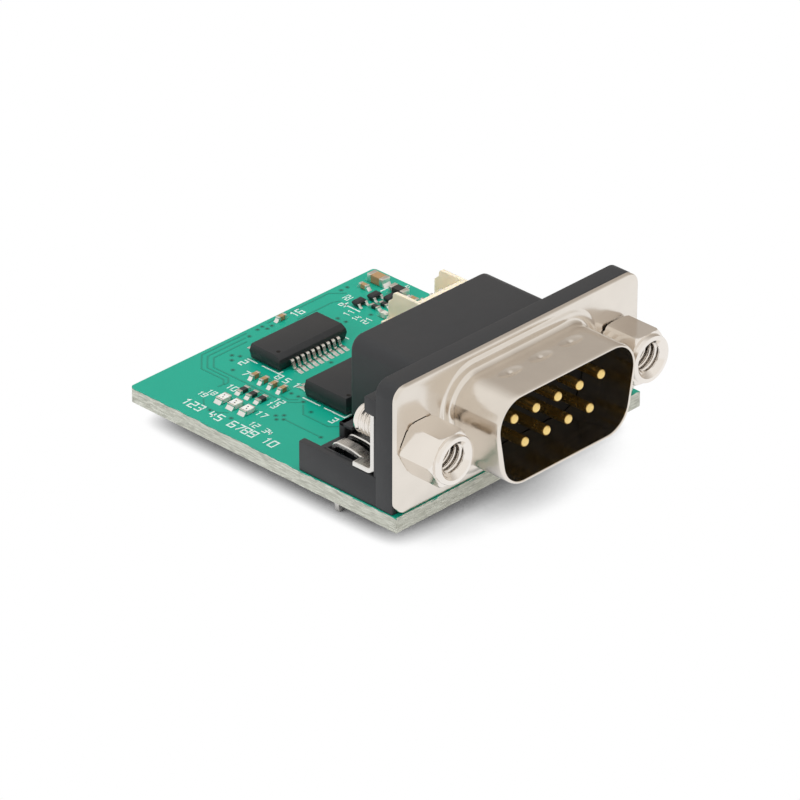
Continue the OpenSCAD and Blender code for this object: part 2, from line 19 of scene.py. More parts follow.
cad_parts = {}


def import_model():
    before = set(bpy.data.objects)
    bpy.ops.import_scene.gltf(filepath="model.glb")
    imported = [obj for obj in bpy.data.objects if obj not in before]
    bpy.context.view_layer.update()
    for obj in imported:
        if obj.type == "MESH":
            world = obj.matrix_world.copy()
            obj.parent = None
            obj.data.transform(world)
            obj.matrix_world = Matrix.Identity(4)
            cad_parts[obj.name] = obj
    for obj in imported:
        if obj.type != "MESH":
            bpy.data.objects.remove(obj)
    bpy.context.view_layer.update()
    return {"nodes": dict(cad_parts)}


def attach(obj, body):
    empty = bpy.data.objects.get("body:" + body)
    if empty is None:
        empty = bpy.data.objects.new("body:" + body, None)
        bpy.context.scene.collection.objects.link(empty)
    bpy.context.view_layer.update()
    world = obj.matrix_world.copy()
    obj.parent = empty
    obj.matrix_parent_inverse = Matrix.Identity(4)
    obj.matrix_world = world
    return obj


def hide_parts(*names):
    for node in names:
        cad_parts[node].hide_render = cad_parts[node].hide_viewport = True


LOG = logging.getLogger("adapter_module")
MM = 0.001
ROOT = "root"

Point2 = tuple[float, float]
Point3 = tuple[float, float, float]
Colour = tuple[float, float, float]
Form = bmesh.types.BMesh
Socket = bpy.types.NodeSocket
Material = bpy.types.Material
Object = bpy.types.Object

TINY = 1e-6
MIDDLE: Point2 = (0.3, 0.7)


class Axis(Enum):
    """The direction in which an outline is extruded or turned."""

    X = "x"
    Y = "y"
    Z = "z"

    def place(self, a: float, b: float, along: float) -> Vector:
        """Puts an outline's point (a, b) at a distance along this axis."""
        return {
            Axis.X: Vector((along, a, b)),
            Axis.Y: Vector((a, along, b)),
            Axis.Z: Vector((a, b, along)),
        }[self]


class Side(Enum):
    """Left or right as seen from the front of the plug."""

    LEFT = -1
    RIGHT = 1

    @property
    def word(self) -> str:
        """The side as it stands in names."""
        return self.name.lower()


class EndTurn(Enum):
    """Which way the two ends of a small part face."""

    ALONG_X = 0
    ALONG_Y = 90


# Colours and material trees


def from_srgb(red: int, green: int, blue: int) -> Colour:
    """Turns a colour as seen on a screen into the linear one that shaders use.

    Args:
        red: Red from 0 to 255.
        green: Green from 0 to 255.
        blue: Blue from 0 to 255.

    Returns:
        The linear colour, each part from 0 to 1.
    """

    def linear(value: int) -> float:
        """One part of the colour."""
        share = value / 255
        return share / 12.92 if share <= 0.04045 else ((share + 0.055) / 1.055) ** 2.4

    return linear(red), linear(green), linear(blue)


def opaque(colour: Colour) -> tuple[float, float, float, float]:
    """Adds full alpha to a colour."""
    return (*colour, 1.0)


def shaded(colour: Colour, factor: float) -> Colour:
    """Makes a colour lighter or darker by a factor."""
    return tuple(min(1.0, part * factor) for part in colour)


def shades(colour: Colour, change: float) -> tuple[tuple[float, ...], tuple[float, ...]]:
    """Makes the darker and the lighter shade of a colour, both opaque, changed by a share."""
    return opaque(shaded(colour, 1 - change)), opaque(shaded(colour, 1 + change))


class NodeTree:
    """A node tree whose nodes are added by short calls."""

    prefix = ""

    def __init__(self, tree: bpy.types.NodeTree) -> None:
        """Takes over a tree.

        Args:
            tree: Blender's own tree.
        """
        self.nodes = tree.nodes
        self.links = tree.links

    def add(self, kind: str, options: dict[str, object] | None = None, **inputs: object) -> bpy.types.Node:
        """Adds a node.

        Args:
            kind: The node's type without the prefix of this kind of tree.
            options: Properties of the node.
            inputs: Values or sockets for its inputs, with _ for a space in their names.

        Returns:
            The new node.
        """
        node = self.nodes.new(self.prefix + kind)
        for key, value in (options or {}).items():
            setattr(node, key, value)
        for key, value in inputs.items():
            self.feed(node.inputs[key.replace("_", " ")], value)
        return node

    def feed(self, socket: Socket, value: object) -> None:
        """Links a socket to an input, or sets the input's value."""
        if isinstance(value, Socket):
            self.links.new(value, socket)
        else:
            socket.default_value = value


class ShaderTree(NodeTree):
    """The shader tree of a material or of the world."""

    prefix = "ShaderNode"

    def spread(self, value: Socket, low: float, high: float, to_low: float, to_high: float) -> Socket:
        """Maps a value from one range to another, clamped.

        Args:
            value: The value.
            low: Where its range begins.
            high: Where its range ends.
            to_low: What low becomes.
            to_high: What high becomes.

        Returns:
            The mapped value.
        """
        node = self.add("MapRange", Value=value)
        for socket, number in zip(node.inputs[1:5], (low, high, to_low, to_high)):
            socket.default_value = number
        return node.outputs["Result"]

    def blend(self, factor: object, first: object, second: object) -> Socket:
        """Mixes two colours.

        Args:
            factor: 0 for the first colour, 1 for the second.
            first: The first colour.
            second: The second colour.

        Returns:
            The mixed colour.
        """
        node = self.add("Mix", {"data_type": "RGBA"})
        for place, value in ((0, factor), (6, first), (7, second)):
            self.feed(node.inputs[place], value)
        return node.outputs[2]

    def mix(self, share: Socket, first: Socket, second: Socket) -> Socket:
        """Mixes two shaders.

        Args:
            share: 0 for the first shader, 1 for the second.
            first: The first shader.
            second: The second shader.

        Returns:
            The mixed shader.
        """
        node = self.add("MixShader")
        for socket, source in zip(node.inputs, (share, first, second)):
            self.feed(socket, source)
        return node.outputs[0]

    def calc(self, operation: str, first: object, second: object = 0.0) -> Socket:
        """Does arithmetic.

        Args:
            operation: The Math node's operation.
            first: The first value.
            second: The second value, where the operation takes one.

        Returns:
            The result.
        """
        node = self.add("Math", {"operation": operation})
        self.feed(node.inputs[0], first)
        self.feed(node.inputs[1], second)
        return node.outputs[0]


class MaterialTree(ShaderTree):
    """A material that ends in one principled shader."""

    def __init__(self, name: str) -> None:
        """Starts a material.

        Args:
            name: The material's name.
        """
        self.material = bpy.data.materials.new(name)
        self.material.use_nodes = True
        super().__init__(self.material.node_tree)
        self.shader = self.nodes["Principled BSDF"]
        self.place = self.add("TexCoord").outputs["Object"]

    def scaled(self, x: float, y: float, z: float) -> Socket:
        """Object coordinates stretched by a factor along each axis."""
        return self.add("Mapping", Vector=self.place, Scale=(x, y, z)).outputs["Vector"]

    def noise(
        self, per_mm: float, detail: float = 3, rough: float = 0.55, vector: Socket | None = None
    ) -> Socket:
        """Noise between 0 and 1.

        Args:
            per_mm: How many features fit in a millimetre.
            detail: Octaves of finer noise.
            rough: Strength of the finer noise.
            vector: Coordinates, or None for the object's own.

        Returns:
            The noise's factor.
        """
        node = self.add(
            "TexNoise", Vector=vector or self.place, Scale=per_mm / MM, Detail=detail, Roughness=rough
        )
        return node.outputs[0]

    def bump(self, height: Socket, distance_mm: float, strength: float = 1.0) -> None:
        """Gives the surface a relief.

        Args:
            height: The height between 0 and 1.
            distance_mm: What a height of 1 is in millimetres.
            strength: How much of it shows.
        """
        node = self.add("Bump", Height=height, Distance=distance_mm * MM, Strength=strength)
        self.feed(self.shader.inputs["Normal"], node.outputs["Normal"])

    def surface(self, **inputs: object) -> None:
        """Sets inputs of the principled shader, with _ for a space in their names."""
        for key, value in inputs.items():
            self.feed(self.shader.inputs[key.replace("_", " ")], value)


@dataclass(frozen=True)
class PlatedMetal:
    """Sheet or turned metal with a thin bright plating.

    Attributes:
        name: The material's name.
        colour: The plating's linear colour.
        roughness: The middle roughness.
        cloud: How far the colour varies in soft clouds.
        ripple: Height in millimetres of the soft waves of the surface.
        grain: Waves in a millimetre.
        streaks: Rolling marks in a millimetre along X, Y and Z.
        blotches: Clouds in a millimetre.
        polish: Least and greatest share of the middle roughness.
    """

    name: str
    colour: Colour
    roughness: float = 0.25
    cloud: float = 0.05
    ripple: float = 0.01
    grain: float = 0.35
    streaks: Point3 = (0.3, 3.0, 3.0)
    blotches: float = 0.3
    polish: Point2 = (0.85, 1.18)

    def build(self) -> Material:
        """Makes the material.

        Returns:
            The material.
        """
        tree = MaterialTree(self.name)
        clouds = tree.noise(self.blotches, 2, 0.5)
        marks = tree.noise(1.0, 2, 0.5, tree.scaled(*self.streaks))
        waves = tree.noise(self.grain, 1, 0.4)
        smooth, matt = (self.roughness * share for share in self.polish)
        tree.surface(
            Base_Color=tree.blend(clouds, *shades(self.colour, self.cloud)),
            Metallic=1.0,
            Roughness=tree.spread(marks, *MIDDLE, smooth, matt),
        )
        tree.bump(waves, self.ripple)
        return tree.material


@dataclass(frozen=True)
class Moulding:
    """Moulded plastic with a fine eroded grain.

    Attributes:
        name: The material's name.
        colour: The plastic's linear colour.
        roughness: The middle roughness.
        grain: Features of the grain in a millimetre.
        depth: Depth in millimetres of the grain.
        gloss: Specular level.
        glow: Weight of the light that scatters inside.
        glow_depth: How deep in millimetres that light goes.
        cloud: How far the colour varies in soft clouds.
        blotches: Clouds in a millimetre.
    """

    name: str
    colour: Colour
    roughness: float = 0.5
    grain: float = 9.0
    depth: float = 0.004
    gloss: float = 0.4
    glow: float = 0.0
    glow_depth: float = 0.6
    cloud: float = 0.08
    blotches: float = 0.25

    def build(self) -> Material:
        """Makes the material.

        Returns:
            The material.
        """
        tree = MaterialTree(self.name)
        grain = tree.noise(self.grain, 3, 0.6)
        clouds = tree.noise(self.blotches, 3)
        tree.surface(
            Base_Color=tree.blend(clouds, *shades(self.colour, self.cloud)),
            Roughness=tree.spread(clouds, *MIDDLE, self.roughness * 0.9, self.roughness * 1.1),
            Specular_IOR_Level=self.gloss,
        )
        if self.glow:
            tree.surface(
                Subsurface_Weight=self.glow,
                Subsurface_Radius=(1.0, 0.8, 0.5),
                Subsurface_Scale=self.glow_depth * MM,
            )
        tree.bump(grain, self.depth)
        return tree.material


@dataclass(frozen=True)
class Fired:
    """Fired ceramic with a faint speckle.

    Attributes:
        name: The material's name.
        colour: The body's linear colour.
        roughness: Roughness.
        speckle: How far the colour varies in fine speckles.
    """

    name: str
    colour: Colour
    roughness: float = 0.45
    speckle: float = 0.15

    def build(self) -> Material:
        """Makes the material.

        Returns:
            The material.
        """
        tree = MaterialTree(self.name)
        speckles = tree.noise(7.0, 4, 0.7)
        base = tree.blend(speckles, *shades(self.colour, self.speckle))
        tree.surface(Base_Color=base, Roughness=self.roughness)
        tree.bump(speckles, 0.006)
        return tree.material


@dataclass(frozen=True)
class SolderMask:
    """Green lacquer on the faces of the board, with bare laminate on its edges.

    Attributes:
        name: The material's name.
        colour: The lacquer's linear colour.
        resin: The laminate's linear colour.
        fibre: The colour of the glass bundles in the laminate.
        top: Height of the board's upper face.
        front: Where the bare laminate of the front edge begins.
        weave: Bumps of the glass cloth in a millimetre.
        strands: Glass bundles in a millimetre along X, Y and Z.
        flaws: Chipped spots in a millimetre along X, Y and Z.
        waver: Least and greatest width of the lacquer that runs over the edge.
    """

    name: str
    colour: Colour
    resin: Colour
    fibre: Colour
    top: float
    front: float = 0.03
    weave: float = 1.6
    strands: Point3 = (0.7, 0.7, 7.0)
    flaws: Point3 = (0.8, 0.8, 2.4)
    waver: Point2 = (0.02, 0.16)

    def build(self) -> Material:
        """Makes the material.

        Returns:
            The material.
        """
        tree = MaterialTree(self.name)
        weave = tree.noise(self.weave, 4, 0.6)
        clouds = tree.noise(0.12, 3)
        lacquer = tree.blend(clouds, *shades(self.colour, 0.07))
        strands = tree.noise(1.0, 4, 0.7, tree.scaled(*self.strands))
        chips = tree.noise(1.0, 3, 0.6, tree.scaled(*self.flaws))
        edge = tree.blend(tree.spread(strands, 0.4, 0.6, 0, 1), opaque(self.resin), opaque(self.fibre))
        edge = tree.blend(tree.spread(chips, 0.52, 0.66, 0, 0.55), edge, opaque(shaded(self.resin, 0.72)))
        normal = tree.add("SeparateXYZ", Vector=tree.add("NewGeometry").outputs["Normal"])
        parts = tree.add("SeparateXYZ", Vector=tree.place).outputs
        ahead, height = parts["Y"], parts["Z"]
        on_face = tree.calc("GREATER_THAN", tree.calc("ABSOLUTE", normal.outputs["Z"]), 0.5)
        waver = tree.spread(chips, *MIDDLE, *(width * MM for width in self.waver))
        near_top = tree.calc("GREATER_THAN", height, tree.calc("SUBTRACT", self.top * MM, waver))
        inside = tree.calc("GREATER_THAN", ahead, tree.calc("SUBTRACT", self.front * MM, waver))
        green = tree.calc("MULTIPLY", tree.calc("MAXIMUM", on_face, near_top), inside)
        tree.surface(
            Base_Color=tree.blend(green, edge, lacquer),
            Roughness=tree.spread(green, 0, 1, 0.8, 0.36),
            Specular_IOR_Level=0.4,
        )
        height_map = tree.calc("MULTIPLY", strands, tree.spread(green, 0, 1, 1, 0))
        tree.bump(tree.calc("ADD", height_map, tree.calc("MULTIPLY", weave, 0.12)), 0.05, 0.8)
        return tree.material


@dataclass(frozen=True)
class Print:
    """A thin matt print, the lacquer over a copper track, or the painted shade of a via's hole.

    Attributes:
        name: The material's name.
        colour: The print's linear colour.
        roughness: Roughness.
        fade: How far the colour falls in worn spots.
    """

    name: str
    colour: Colour
    roughness: float = 0.6
    fade: float = 0.12

    def build(self) -> Material:
        """Makes the material.

        Returns:
            The material.
        """
        tree = MaterialTree(self.name)
        spots = tree.noise(4.0, 3)
        tree.surface(
            Base_Color=tree.blend(spots, opaque(shaded(self.colour, 1 - self.fade)), opaque(self.colour)),
            Roughness=self.roughness,
        )
        tree.bump(spots, 0.003)
        return tree.material


# Mesh forms, in millimetres


def placed(name: str, data: bpy.types.ID) -> Object:
    """Makes an object at the origin and links it to the scene.

    Args:
        name: The object's name.
        data: Its mesh, lamp or camera.

    Returns:
        The object.
    """
    thing = bpy.data.objects.new(name, data)
    bpy.context.scene.collection.objects.link(thing)
    return thing


def pour(form: Form, gathered: Form) -> None:
    """Adds a form to a larger one and lets it go.

    Args:
        form: The form, which is freed.
        gathered: The larger one.
    """
    carrier = bpy.data.meshes.new("carrier")
    form.to_mesh(carrier)
    form.free()
    gathered.from_mesh(carrier)
    bpy.data.meshes.remove(carrier)


def sharp_edges(mesh: Form, degrees: float) -> list[bmesh.types.BMEdge]:
    """Finds the edges whose two faces meet at more than an angle."""
    limit = math.radians(degrees)
    return [e for e in mesh.edges if len(e.link_faces) == 2 and e.calc_face_angle(0.0) > limit]


def soften(mesh: Form, width: float, segments: int = 2, degrees: float = 28) -> Form:
    """Points the faces of a closed form outwards and rounds its sharp edges.

    Args:
        mesh: The form.
        width: Width of the rounding.
        segments: Steps across it.
        degrees: Edges that bend less than this stay.

    Returns:
        The same mesh.
    """
    bmesh.ops.recalc_face_normals(mesh, faces=mesh.faces)
    if width > 0:
        bmesh.ops.bevel(
            mesh,
            geom=sharp_edges(mesh, degrees),
            offset=width,
            segments=segments,
            profile=0.5,
            affect="EDGES",
            clamp_overlap=True,
        )
    return mesh


def prism(
    outline: Sequence[Point2], low: float, high: float, axis: Axis, bevel: float = 0.0, segments: int = 2
) -> Form:
    """Extrudes an outline along an axis.

    Args:
        outline: Points in the two other axes, in X, Y, Z order.
        low: Where it starts.
        high: Where it ends.
        axis: The direction.
        bevel: Width of the rounding of its sharp edges.
        segments: Steps across the rounding.

    Returns:
        The form.
    """
    mesh = bmesh.new()
    ends = [[mesh.verts.new(axis.place(a, b, along)) for a, b in outline] for along in (low, high)]
    mesh.faces.new(ends[0])
    mesh.faces.new(reversed(ends[1]))
    count = len(outline)
    for i in range(count):
        k = (i + 1) % count
        mesh.faces.new((ends[0][i], ends[1][i], ends[1][k], ends[0][k]))
    return soften(mesh, bevel, segments)


def block(low: Sequence[float], high: Sequence[float], bevel: float = 0.0, segments: int = 2) -> Form:
    """Makes a box with rounded edges.

    Args:
        low: Its lowest corner.
        high: Its highest corner.
        bevel: Width of the rounding of its edges.
        segments: Steps across the rounding.

    Returns:
        The form.
    """
    outline = [(low[0], low[1]), (high[0], low[1]), (high[0], high[1]), (low[0], high[1])]
    return prism(outline, low[2], high[2], Axis.Z, bevel, segments)


def loft(rings: Sequence[Sequence[Vector]], closed: bool = False) -> Form:
    """Joins rings of equally many points with faces.

    Args:
        rings: The rings in order. A ring of equal points closes to a pole.
        closed: Whether the last ring joins the first; otherwise both ends are capped.

    Returns:
        The form.
    """
    mesh = bmesh.new()
    made = [[mesh.verts.new(point) for point in ring] for ring in rings]
    count = len(made[0])
    pairs = list(zip(made, made[1:])) + ([(made[-1], made[0])] if closed else [])
    for first, second in pairs:
        for i in range(count):
            k = (i + 1) % count
            mesh.faces.new((first[i], first[k], second[k], second[i]))
    if not closed:
        mesh.faces.new(reversed(made[0]))
        mesh.faces.new(made[-1])
    bmesh.ops.remove_doubles(mesh, verts=mesh.verts, dist=1e-5)
    bmesh.ops.recalc_face_normals(mesh, faces=mesh.faces)
    return mesh


def turned(
    profile: Sequence[Point2],
    centre: Sequence[float],
    axis: Axis,
    steps: int = 48,
    radius_at: Callable[[float, float, float], float] | None = None,
) -> Form:
    """Turns a profile round an axis.

    Args:
        profile: (radius, distance along the axis) from one end to the other.
        centre: A point on the axis, from which the distances count.
        axis: The axis.
        steps: Points round the axis.
        radius_at: Changes the radius from (radius, distance, angle), as for a thread.

    Returns:
        The form.
    """
    middle = Vector(centre)
    rings = []
    for radius, along in profile:
        ring = []
        for step in range(steps):
            angle = 2 * math.pi * step / steps
            r = radius_at(radius, along, angle) if radius_at else radius
            ring.append(middle + axis.place(r * math.cos(angle), r * math.sin(angle), along))
        rings.append(ring)
    return loft(rings)


def arc(centre: Point2, radius: float, start: float, end: float, steps: int) -> list[Point2]:
    """Lays points along an arc.

    Args:
        centre: The arc's centre.
        radius: Its radius.
        start: Where it starts, in degrees.
        end: Where it ends, in degrees.
        steps: How many stretches it is cut into.

    Returns:
        The points, one more than the steps.
    """
    return [
        (
            centre[0] + radius * math.cos(math.radians(start + (end - start) * i / steps)),
            centre[1] + radius * math.sin(math.radians(start + (end - start) * i / steps)),
        )
        for i in range(steps + 1)
    ]


def arched(half: float, low: float, high: float, radius: float, steps: int) -> list[Point2]:
    """Draws an upright outline with a square base and round upper corners.

    Args:
        half: Half its width.
        low: Its base.
        high: Its top.
        radius: Radius of its upper corners.
        steps: Stretches in each of them.

    Returns:
        The outline, anticlockwise.
    """
    outline = [(-half, low), (half, low)]
    outline += arc((half - radius, high - radius), radius, 0, 90, steps)
    return outline + arc((radius - half, high - radius), radius, 90, 180, steps)


def swept(path: Sequence[Point2], sections: Sequence[Sequence[Point2]]) -> Form:
    """Sweeps a section along a path in Y and Z.

    Args:
        path: The path.
        sections: The section at each of its points, as (X, distance to the path's left).

    Returns:
        The form.
    """
    rings = []
    for i, ((y, z), section) in enumerate(zip(path, sections)):
        before, after = path[max(i - 1, 0)], path[min(i + 1, len(path) - 1)]
        along = Vector((after[0] - before[0], after[1] - before[1])).normalized()
        rings.append([Vector((x, y - along.y * left, z + along.x * left)) for x, left in section])
    return loft(rings)


def rounded_rectangle(width: float, height: float, radius: float, steps: int = 8) -> list[Point2]:
    """Draws a rectangle with round corners, centred on the origin.

    Args:
        width: Its width.
        height: Its height.
        radius: Radius of its corners.
        steps: Stretches in each corner.

    Returns:
        The outline, anticlockwise.
    """
    a, b = width / 2 - radius, height / 2 - radius
    corners = [((a, -b), 270), ((a, b), 0), ((-a, b), 90), ((-a, -b), 180)]
    return [point for centre, turn in corners for point in arc(centre, radius, turn, turn + 90, steps)]


def resampled(outline: Sequence[Point2], count: int) -> list[Point2]:
    """Spreads points evenly along a closed outline, from where it crosses the positive first axis.

    Args:
        outline: The outline, anticlockwise.
        count: How many points.

    Returns:
        The points.
    """
    closed = list(outline) + [outline[0]]
    crossing = next(
        i for i, (p, q) in enumerate(zip(closed, closed[1:])) if p[0] > 0 and p[1] <= 0 < q[1]
    )
    p, q = closed[crossing], closed[crossing + 1]
    share = -p[1] / (q[1] - p[1])
    start = (p[0] + (q[0] - p[0]) * share, 0.0)
    path = [start] + [outline[(crossing + 1 + i) % len(outline)] for i in range(len(outline))] + [start]
    lengths = [0.0]
    for p, q in zip(path, path[1:]):
        lengths.append(lengths[-1] + math.dist(p, q))
    points, at = [], 0
    for i in range(count):
        wanted = lengths[-1] * i / count
        while lengths[at + 1] < wanted:
            at += 1
        span = lengths[at + 1] - lengths[at]
        t = (wanted - lengths[at]) / span if span else 0.0
        p, q = path[at], path[at + 1]
        points.append((p[0] + (q[0] - p[0]) * t, p[1] + (q[1] - p[1]) * t))
    return points


class Piece:
    """One object that grows from forms in millimetres, each with its own finish."""

    def __init__(self, name: str) -> None:
        """Starts an empty piece.

        Args:
            name: The object's name.
        """
        self.name = name
        self.mesh = bpy.data.meshes.new(name)
        self.gathered = bmesh.new()

    def add(self, form: Form, finish: Material) -> Piece:
        """Adds a form and lets it go.

        Args:
            form: The form.
            finish: Its finish.

        Returns:
            This piece.
        """
        if finish.name not in self.mesh.materials:
            self.mesh.materials.append(finish)
        index = self.mesh.materials.find(finish.name)
        for face in form.faces:
            face.material_index = index
        pour(form, self.gathered)
        return self

    def make(self, smooth_degrees: float = 32) -> Object:
        """Turns the gathered forms into an object in metres.

        Args:
            smooth_degrees: Edges that bend more than this stay sharp.

        Returns:
            The object, at the origin.
        """
        self.gathered.to_mesh(self.mesh)
        self.gathered.free()
        self.mesh.transform(Matrix.Scale(MM, 4))
        self.mesh.polygons.foreach_set("use_smooth", [True] * len(self.mesh.polygons))
        self.mesh.set_sharp_from_angle(angle=math.radians(smooth_degrees))
        return placed(self.name, self.mesh)


def settle(thing: Object, nodes: Iterable[str] = ()) -> None:
    """Joins a finished object to the module.

    Args:
        thing: The object.
        nodes: The solids that it stands for.
    """
    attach(thing, ROOT)
    nodes = tuple(nodes)
    if nodes:
        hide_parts(*nodes)
    stands_for = ", ".join(nodes) or "nothing"
    LOG.info("%s: %d faces, stands for %s", thing.name, len(thing.data.polygons), stands_for)


# Geometry node trees for what repeats


class PatternTree(NodeTree):
    """A geometry node tree with named inputs, whose result is baked into a plain mesh."""

    def __init__(self, name: str, inputs: dict[str, str]) -> None:
        """Starts the tree.

        Args:
            name: The tree's name.
            inputs: Input names and their socket types without the NodeSocket prefix.
        """
        self.tree = bpy.data.node_groups.new(name, "GeometryNodeTree")
        super().__init__(self.tree)
        face = self.tree.interface
        face.new_socket(name="Geometry", in_out="INPUT", socket_type="NodeSocketGeometry")
        self.identifiers = {
            key: face.new_socket(name=key, in_out="INPUT", socket_type="NodeSocket" + kind).identifier
            for key, kind in inputs.items()
        }
        face.new_socket(name="Geometry", in_out="OUTPUT", socket_type="NodeSocketGeometry")
        self.entry = self.add("NodeGroupInput").outputs

    def end(self, instances: Socket, finish: Socket) -> None:
        """Realizes the copies, gives them their finish and closes the tree.

        Args:
            instances: The copies.
            finish: The input that holds their finish.
        """
        real = self.add("GeometryNodeRealizeInstances", Geometry=instances).outputs[0]
        dressed = self.add("GeometryNodeSetMaterial", Geometry=real, Material=finish).outputs[0]
        self.add("NodeGroupOutput", Geometry=dressed)

    def bake(self, name: str, points: Sequence[Sequence[float]], **values: object) -> Object:
        """Runs the tree on a set of points and keeps its result as a plain mesh.

        Args:
            name: The new object's name.
            points: Points in millimetres that the tree starts from.
            values: Values of the tree's inputs, with _ for a space.

        Returns:
            The object, at the origin.
        """
        seed_mesh = bpy.data.meshes.new(name + "_points")
        seed_mesh.from_pydata([tuple(part * MM for part in point) for point in points], [], [])
        carrier = placed(name + "_carrier", seed_mesh)
        modifier = carrier.modifiers.new("pattern", "NODES")
        modifier.node_group = self.tree
        for key, value in values.items():
            modifier[self.identifiers[key.replace("_", " ")]] = value
        graph = bpy.context.evaluated_depsgraph_get()
        mesh = bpy.data.meshes.new_from_object(carrier.evaluated_get(graph), depsgraph=graph)
        mesh.name = name
        bpy.data.objects.remove(carrier)
        bpy.data.meshes.remove(seed_mesh)
        return placed(name, mesh)


def row_tree() -> PatternTree:
    """Makes the tree that sets copies of a piece in a straight row.

    Returns:
        The tree.
    """
    tree = PatternTree(
        "row_of_pieces",
        {"Piece": "Object", "Count": "Int", "Start": "Vector", "Step": "Vector", "Finish": "Material"},
    )
    line = tree.add(
        "GeometryNodeMeshLine",
        {"mode": "OFFSET", "count_mode": "TOTAL"},
        Count=tree.entry["Count"],
        Start_Location=tree.entry["Start"],
        Offset=tree.entry["Step"],
    )
    piece = tree.add("GeometryNodeObjectInfo", Object=tree.entry["Piece"])
    copies = tree.add(
        "GeometryNodeInstanceOnPoints", Points=line.outputs[0], Instance=piece.outputs["Geometry"]
    )
    tree.end(copies.outputs[0], tree.entry["Finish"])
    return tree


def scatter_tree() -> PatternTree:
    """Makes the tree that sets a copy of a piece at every point of the input.

    Returns:
        The tree.
    """
    tree = PatternTree("piece_at_points", {"Piece": "Object", "Finish": "Material"})
    piece = tree.add("GeometryNodeObjectInfo", Object=tree.entry["Piece"])
    copies = tree.add(
        "GeometryNodeInstanceOnPoints", Points=tree.entry["Geometry"], Instance=piece.outputs["Geometry"]
    )
    tree.end(copies.outputs[0], tree.entry["Finish"])
    return tree


def disc_tree() -> PatternTree:
    """Makes the tree that sets a flat disc of a given radius and height at every point.

    Returns:
        The tree.
    """
    tree = PatternTree("disc_at_points", {"Radius": "Float", "Height": "Float", "Finish": "Material"})
    disc = tree.add(
        "GeometryNodeMeshCylinder", Vertices=20, Radius=tree.entry["Radius"], Depth=tree.entry["Height"]
    )
    copies = tree.add(
        "GeometryNodeInstanceOnPoints", Points=tree.entry["Geometry"], Instance=disc.outputs["Mesh"]
    )
    tree.end(copies.outputs[0], tree.entry["Finish"])
    return tree


@dataclass
class Workshop:
    """The finishes and the trees that the sub-assemblies share."""

    finishes: dict[str, Material] = field(default_factory=dict)
    rows: PatternTree = field(default_factory=row_tree)
    scatter: PatternTree = field(default_factory=scatter_tree)
    discs: PatternTree = field(default_factory=disc_tree)

    def finish(self, name: str) -> Material:
        """Gives a finish by its name."""
        return self.finishes[name]

    def row(
        self, name: str, model: Piece, start: Sequence[float], step: Sequence[float], count: int, finish: str
    ) -> Object:
        """Sets a model in a row and removes the model.

        Args:
            name: The new object's name.
            model: The piece to repeat, drawn round the origin.
            start: Place of the first copy.
            step: From one copy to the next.
            count: How many copies.
            finish: Name of the finish.

        Returns:
            The row as one object.
        """
        source = model.make()
        thing = self.rows.bake(
            name,
            [(0, 0, 0)],
            Piece=source,
            Count=count,
            Start=tuple(part * MM for part in start),
            Step=tuple(part * MM for part in step),
            Finish=self.finish(finish),
        )
        bpy.data.objects.remove(source)
        return thing

    def at_points(self, name: str, model: Piece, points: Sequence[Point3], finish: str) -> Object:
        """Sets a model at each point and removes the model.

        Args:
            name: The new object's name.
            model: The piece to repeat, drawn round the origin.
            points: Where the copies go.
            finish: Name of the finish.

        Returns:
            The copies as one object.
        """
        source = model.make()
        thing = self.scatter.bake(name, points, Piece=source, Finish=self.finish(finish))
        bpy.data.objects.remove(source)
        return thing


def joined(name: str, things: Sequence[Object]) -> Object:
    """Joins plain meshes into one object.

    Args:
        name: The new object's name.
        things: The objects, which are removed.

    Returns:
        The joined object.
    """
    mesh = bpy.data.meshes.new(name)
    gathered = bmesh.new()
    for thing in things:
        for material in filter(None, thing.data.materials):
            if material.name not in mesh.materials:
                mesh.materials.append(material)
        places = [mesh.materials.find(material.name) if material else 0 for material in thing.data.materials]
        part = bmesh.new()
        part.from_mesh(thing.data)
        for face in part.faces:
            face.material_index = places[face.material_index]
        pour(part, gathered)
        bpy.data.objects.remove(thing)
    gathered.to_mesh(mesh)
    gathered.free()
    return placed(name, mesh)


# The plug


